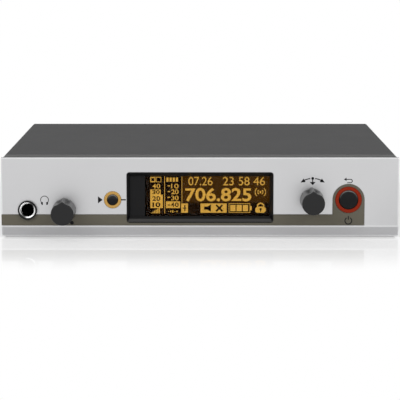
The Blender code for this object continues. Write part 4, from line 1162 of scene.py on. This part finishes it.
def aerial(x, y):
    """A mast with two arms."""
    mast = 0.004
    arm_top = 0.0022
    line = PRINT_LINE
    return [
        bar(x, y, line, mast),
        *[[(x + side * line / 4, y - line / 2), (x + side * 0.0019, y + arm_top),
           (x + side * 0.0015, y + arm_top), (x + side * line / 4, y + line / 2)] for side in (-1, 1)],
    ]


def signal_arrow(x, y):
    """An arrow to the right."""
    shaft = 0.0028
    return [bar(x - 0.0006, y, shaft, PRINT_LINE), arrowhead(x + 0.0022, y, 0, 0.0016, 0.0010)]


def network_sign(x, y):
    """One box joined by lines to two below it."""
    box = (0.0016, 0.0012)
    return [
        bar(x, y + 0.0016, *box),
        *[bar(x + right, y - 0.0013, *box) for right in (-0.0018, 0.0018)],
        bar(x, y + 0.00055, PRINT_LINE, 0.0009),
        bar(x, y, 0.0036, PRINT_LINE),
        *[bar(x + right, y - 0.00035, PRINT_LINE, 0.0007) for right in (-0.0016, 0.0016)],
    ]


def supply_sign(x, y):
    """A line over three dashes."""
    length = 0.0044
    dash = 0.001
    step = 0.0017
    return [
        bar(x, y + 0.0004 + PRINT_LINE / 2, length, PRINT_LINE),
        *[bar(x + right, y - 0.0006 + PRINT_LINE / 2, dash, PRINT_LINE) for right in (-step, 0, step)],
    ]


def rear_prints():
    """Plain pictograms over the rear connectors."""
    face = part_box("rear_panel")[1].y

    def add(name, sign, node, y):
        add_print(name, sign(-centre_of(node).x, y), REAR, face, "painted_steel", LIGHT_PRINT)

    for side in ("left", "right"):
        socket = f"antenna_socket_{side}"
        add(f"antenna_mark_{side}", aerial, socket, centre_of(socket).z + AERIAL_RISE)
    for name, sign, node, rise in (
            ("xlr_shell_mark", signal_arrow, "xlr_shell", SIGNAL_ARROW_RISE),
            ("line_out_nut_mark", signal_arrow, "line_out_nut", SIGNAL_ARROW_RISE),
            ("network_mark", network_sign, "network_socket", NETWORK_SIGN_RISE),
            ("power_inlet_mark", supply_sign, "power_inlet", SUPPLY_SIGN_RISE)):
        add(name, sign, node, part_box(node)[1].z + rise)


# Rear connectors

def make_connectors():
    for side in ("left", "right"):
        socket = f"antenna_socket_{side}"
        turned_piece(socket, REAR, FINE_EDGE)
        make_lugs(socket)
        rounded_copy(f"antenna_nut_{side}", SOFT_EDGE)
    rounded_copy("xlr_shell", SOFT_EDGE)
    for number in (1, 2, 3):
        turned_piece(f"xlr_pin_{number}", REAR, FINE_EDGE)
    screw_row("xlr_screws", ["xlr_screw_upper", "xlr_screw_lower"], REAR, REAR_RECESS)
    turned_piece("power_inlet", REAR, SOFT_EDGE)
    make_cores()
    rounded_copy("network_socket", SOFT_EDGE, material=network_shell())
    make_contacts()


def make_lugs(socket):
    """The two bayonet lugs of an antenna socket."""
    at = centre_of(socket)
    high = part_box(socket)[1]
    top = high.z - at.z
    points = [(0, top), (LUG_RADIUS, top), (LUG_RADIUS, LUG_FOOT), (0, LUG_FOOT)]
    for end, sign in (("low", -1), ("high", 1)):
        name = f"{socket}_lug_{end}"
        mesh = lathe(name, points, False, LUG_EDGE, LUG_STEPS)
        place = Matrix.Translation((at.x, high.y - LUG_SETBACK, at.z))
        mesh.transform(place @ Matrix.Diagonal((1, 1, sign, 1)))
        if sign < 0:
            mesh.flip_normals()
        add_piece(name, mesh, "plated_steel")


def make_cores():
    """The pale insulators of the antenna sockets, each with a gilt contact."""
    sockets = ["antenna_socket_left", "antenna_socket_right"]
    for name, section, slot, material in (
            ("antenna_insulators", INSULATOR, "plated_steel", PALE_PLASTIC),
            ("antenna_contacts", ANTENNA_CONTACT, "brass", None)):
        mesh = lathe(name, box_outline(*section), True, FINE_EDGE, SMALL_STEPS)
        row_piece(name, mesh, sockets, REAR, slot, material=material)


def make_contacts():
    """Sprung contacts in a row across the network port."""
    low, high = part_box("network_socket")
    first = (low.x + high.x) / 2 - CONTACT_PITCH * (CONTACT_COUNT - 1) / 2
    section = box_outline(-CONTACT_HALF_WIDTH, 0, CONTACT_HALF_WIDTH, CONTACT_THICKNESS)
    wire = loft("contact", [
        [(first + x, high.y - behind, high.z - under + rise) for x, rise in section]
        for behind, under in CONTACT_BENDS
    ])
    made = run_tree(
        ROW, wire, {"Count": CONTACT_COUNT, "Step": (CONTACT_PITCH, 0, 0), "Material": FINISHES["brass"]})
    add_piece("network_contacts", made, "brass")


# CAD nodes that stay, in their finishes

def dress_kept_nodes():
    for name, node in frame["nodes"].items():
        if node.hide_render:
            continue
        finish = FINISHES[SLOTS[name]]
        if not node.material_slots:
            node.data.materials.append(finish)
        for material_slot in node.material_slots:
            material_slot.material = finish


# Stage, light and camera

def seen_directly(tree):
    """One for rays from the camera, off metal or through glass, and zero for those that only give light."""
    path = add_node(tree, "ShaderNodeLightPath")
    seen = path.outputs["Is Camera Ray"]
    for label in ("Is Glossy Ray", "Is Transmission Ray"):
        seen = maths(tree, "MAXIMUM", seen, path.outputs[label])
    return seen


def pale_floor():
    """A pale floor that takes the object's shadow close by and turns to plain white further off."""
    material = surface(
        "pale_floor", (0.86, 0.86, 0.86), 0.02, specular=0.3, grain=0.01, cloud=0.4, depth=0.0, tint=0.01,
        smudge=0.01)
    tree = material.node_tree
    low, high = (Vector((corner[0], corner[1], 0)) for corner in cad_box)
    arm = vector_maths(tree, "SUBTRACT", object_place(tree), (low + high) / 2)
    beyond = vector_maths(tree, "SUBTRACT", vector_maths(tree, "ABSOLUTE", arm), (high - low) / 2)
    outside = vector_maths(tree, "MAXIMUM", beyond, (0, 0, 0))
    distance = add_node(tree, "ShaderNodeVectorMath", {0: outside}, operation="LENGTH")
    fade = smooth_rise(tree, distance.outputs["Value"], FADE_START, FADE_END, FADE_LEAST)
    white = add_node(tree, "ShaderNodeEmission", {"Color": (1, 1, 1, 1), "Strength": 1.0})
    mixed = add_node(
        tree, "ShaderNodeMixShader",
        {0: maths(tree, "MULTIPLY", fade, seen_directly(tree)),
         1: tree.nodes["Principled BSDF"].outputs["BSDF"], 2: white.outputs["Emission"]})
    tree.links.new(mixed.outputs["Shader"], tree.nodes["Material Output"].inputs["Surface"])
    return material


def make_stage():
    floor = bpy.data.meshes.new("floor")
    corners = [(x, y, FLOOR_HEIGHT) for x, y in bar(0, 0, 2 * FLOOR_REACH, 2 * FLOOR_REACH)]
    floor.from_pydata(corners, [], [(0, 1, 2, 3)])
    plane = linked("floor", floor)
    floor.materials.append(pale_floor())


def make_light():
    world = bpy.data.worlds.new("studio")
    bpy.context.scene.world = world
    world.use_nodes = True
    tree = world.node_tree
    strength = maths(tree, "MULTIPLY_ADD", seen_directly(tree), 1 - SKY_STRENGTH, SKY_STRENGTH)
    feed(tree, tree.nodes["Background"], {"Color": (1, 1, 1, 1), "Strength": strength})
    for number, (place, size, power) in enumerate(LAMPS):
        lamp = bpy.data.lights.new(f"soft_light_{number}", "AREA")
        lamp.size = size
        lamp.energy = power
        holder = linked(lamp.name, lamp)
        holder.location = place
        holder.rotation_euler = (Vector(AIM) - Vector(place)).to_track_quat("-Z", "Y").to_euler()


def make_camera():
    lens = bpy.data.cameras.new("camera")
    lens.lens = CAMERA_LENS
    camera = linked("camera", lens)
    camera.location = CAMERA_PLACE
    camera.rotation_euler = (math.radians(90 - CAMERA_TILT), 0, 0)
    bpy.context.scene.camera = camera
    bpy.context.scene.view_settings.view_transform = "Standard"


make_case()
make_controls()
make_display()
front_prints()
rear_prints()
make_connectors()
dress_kept_nodes()
make_stage()
make_light()
make_camera()
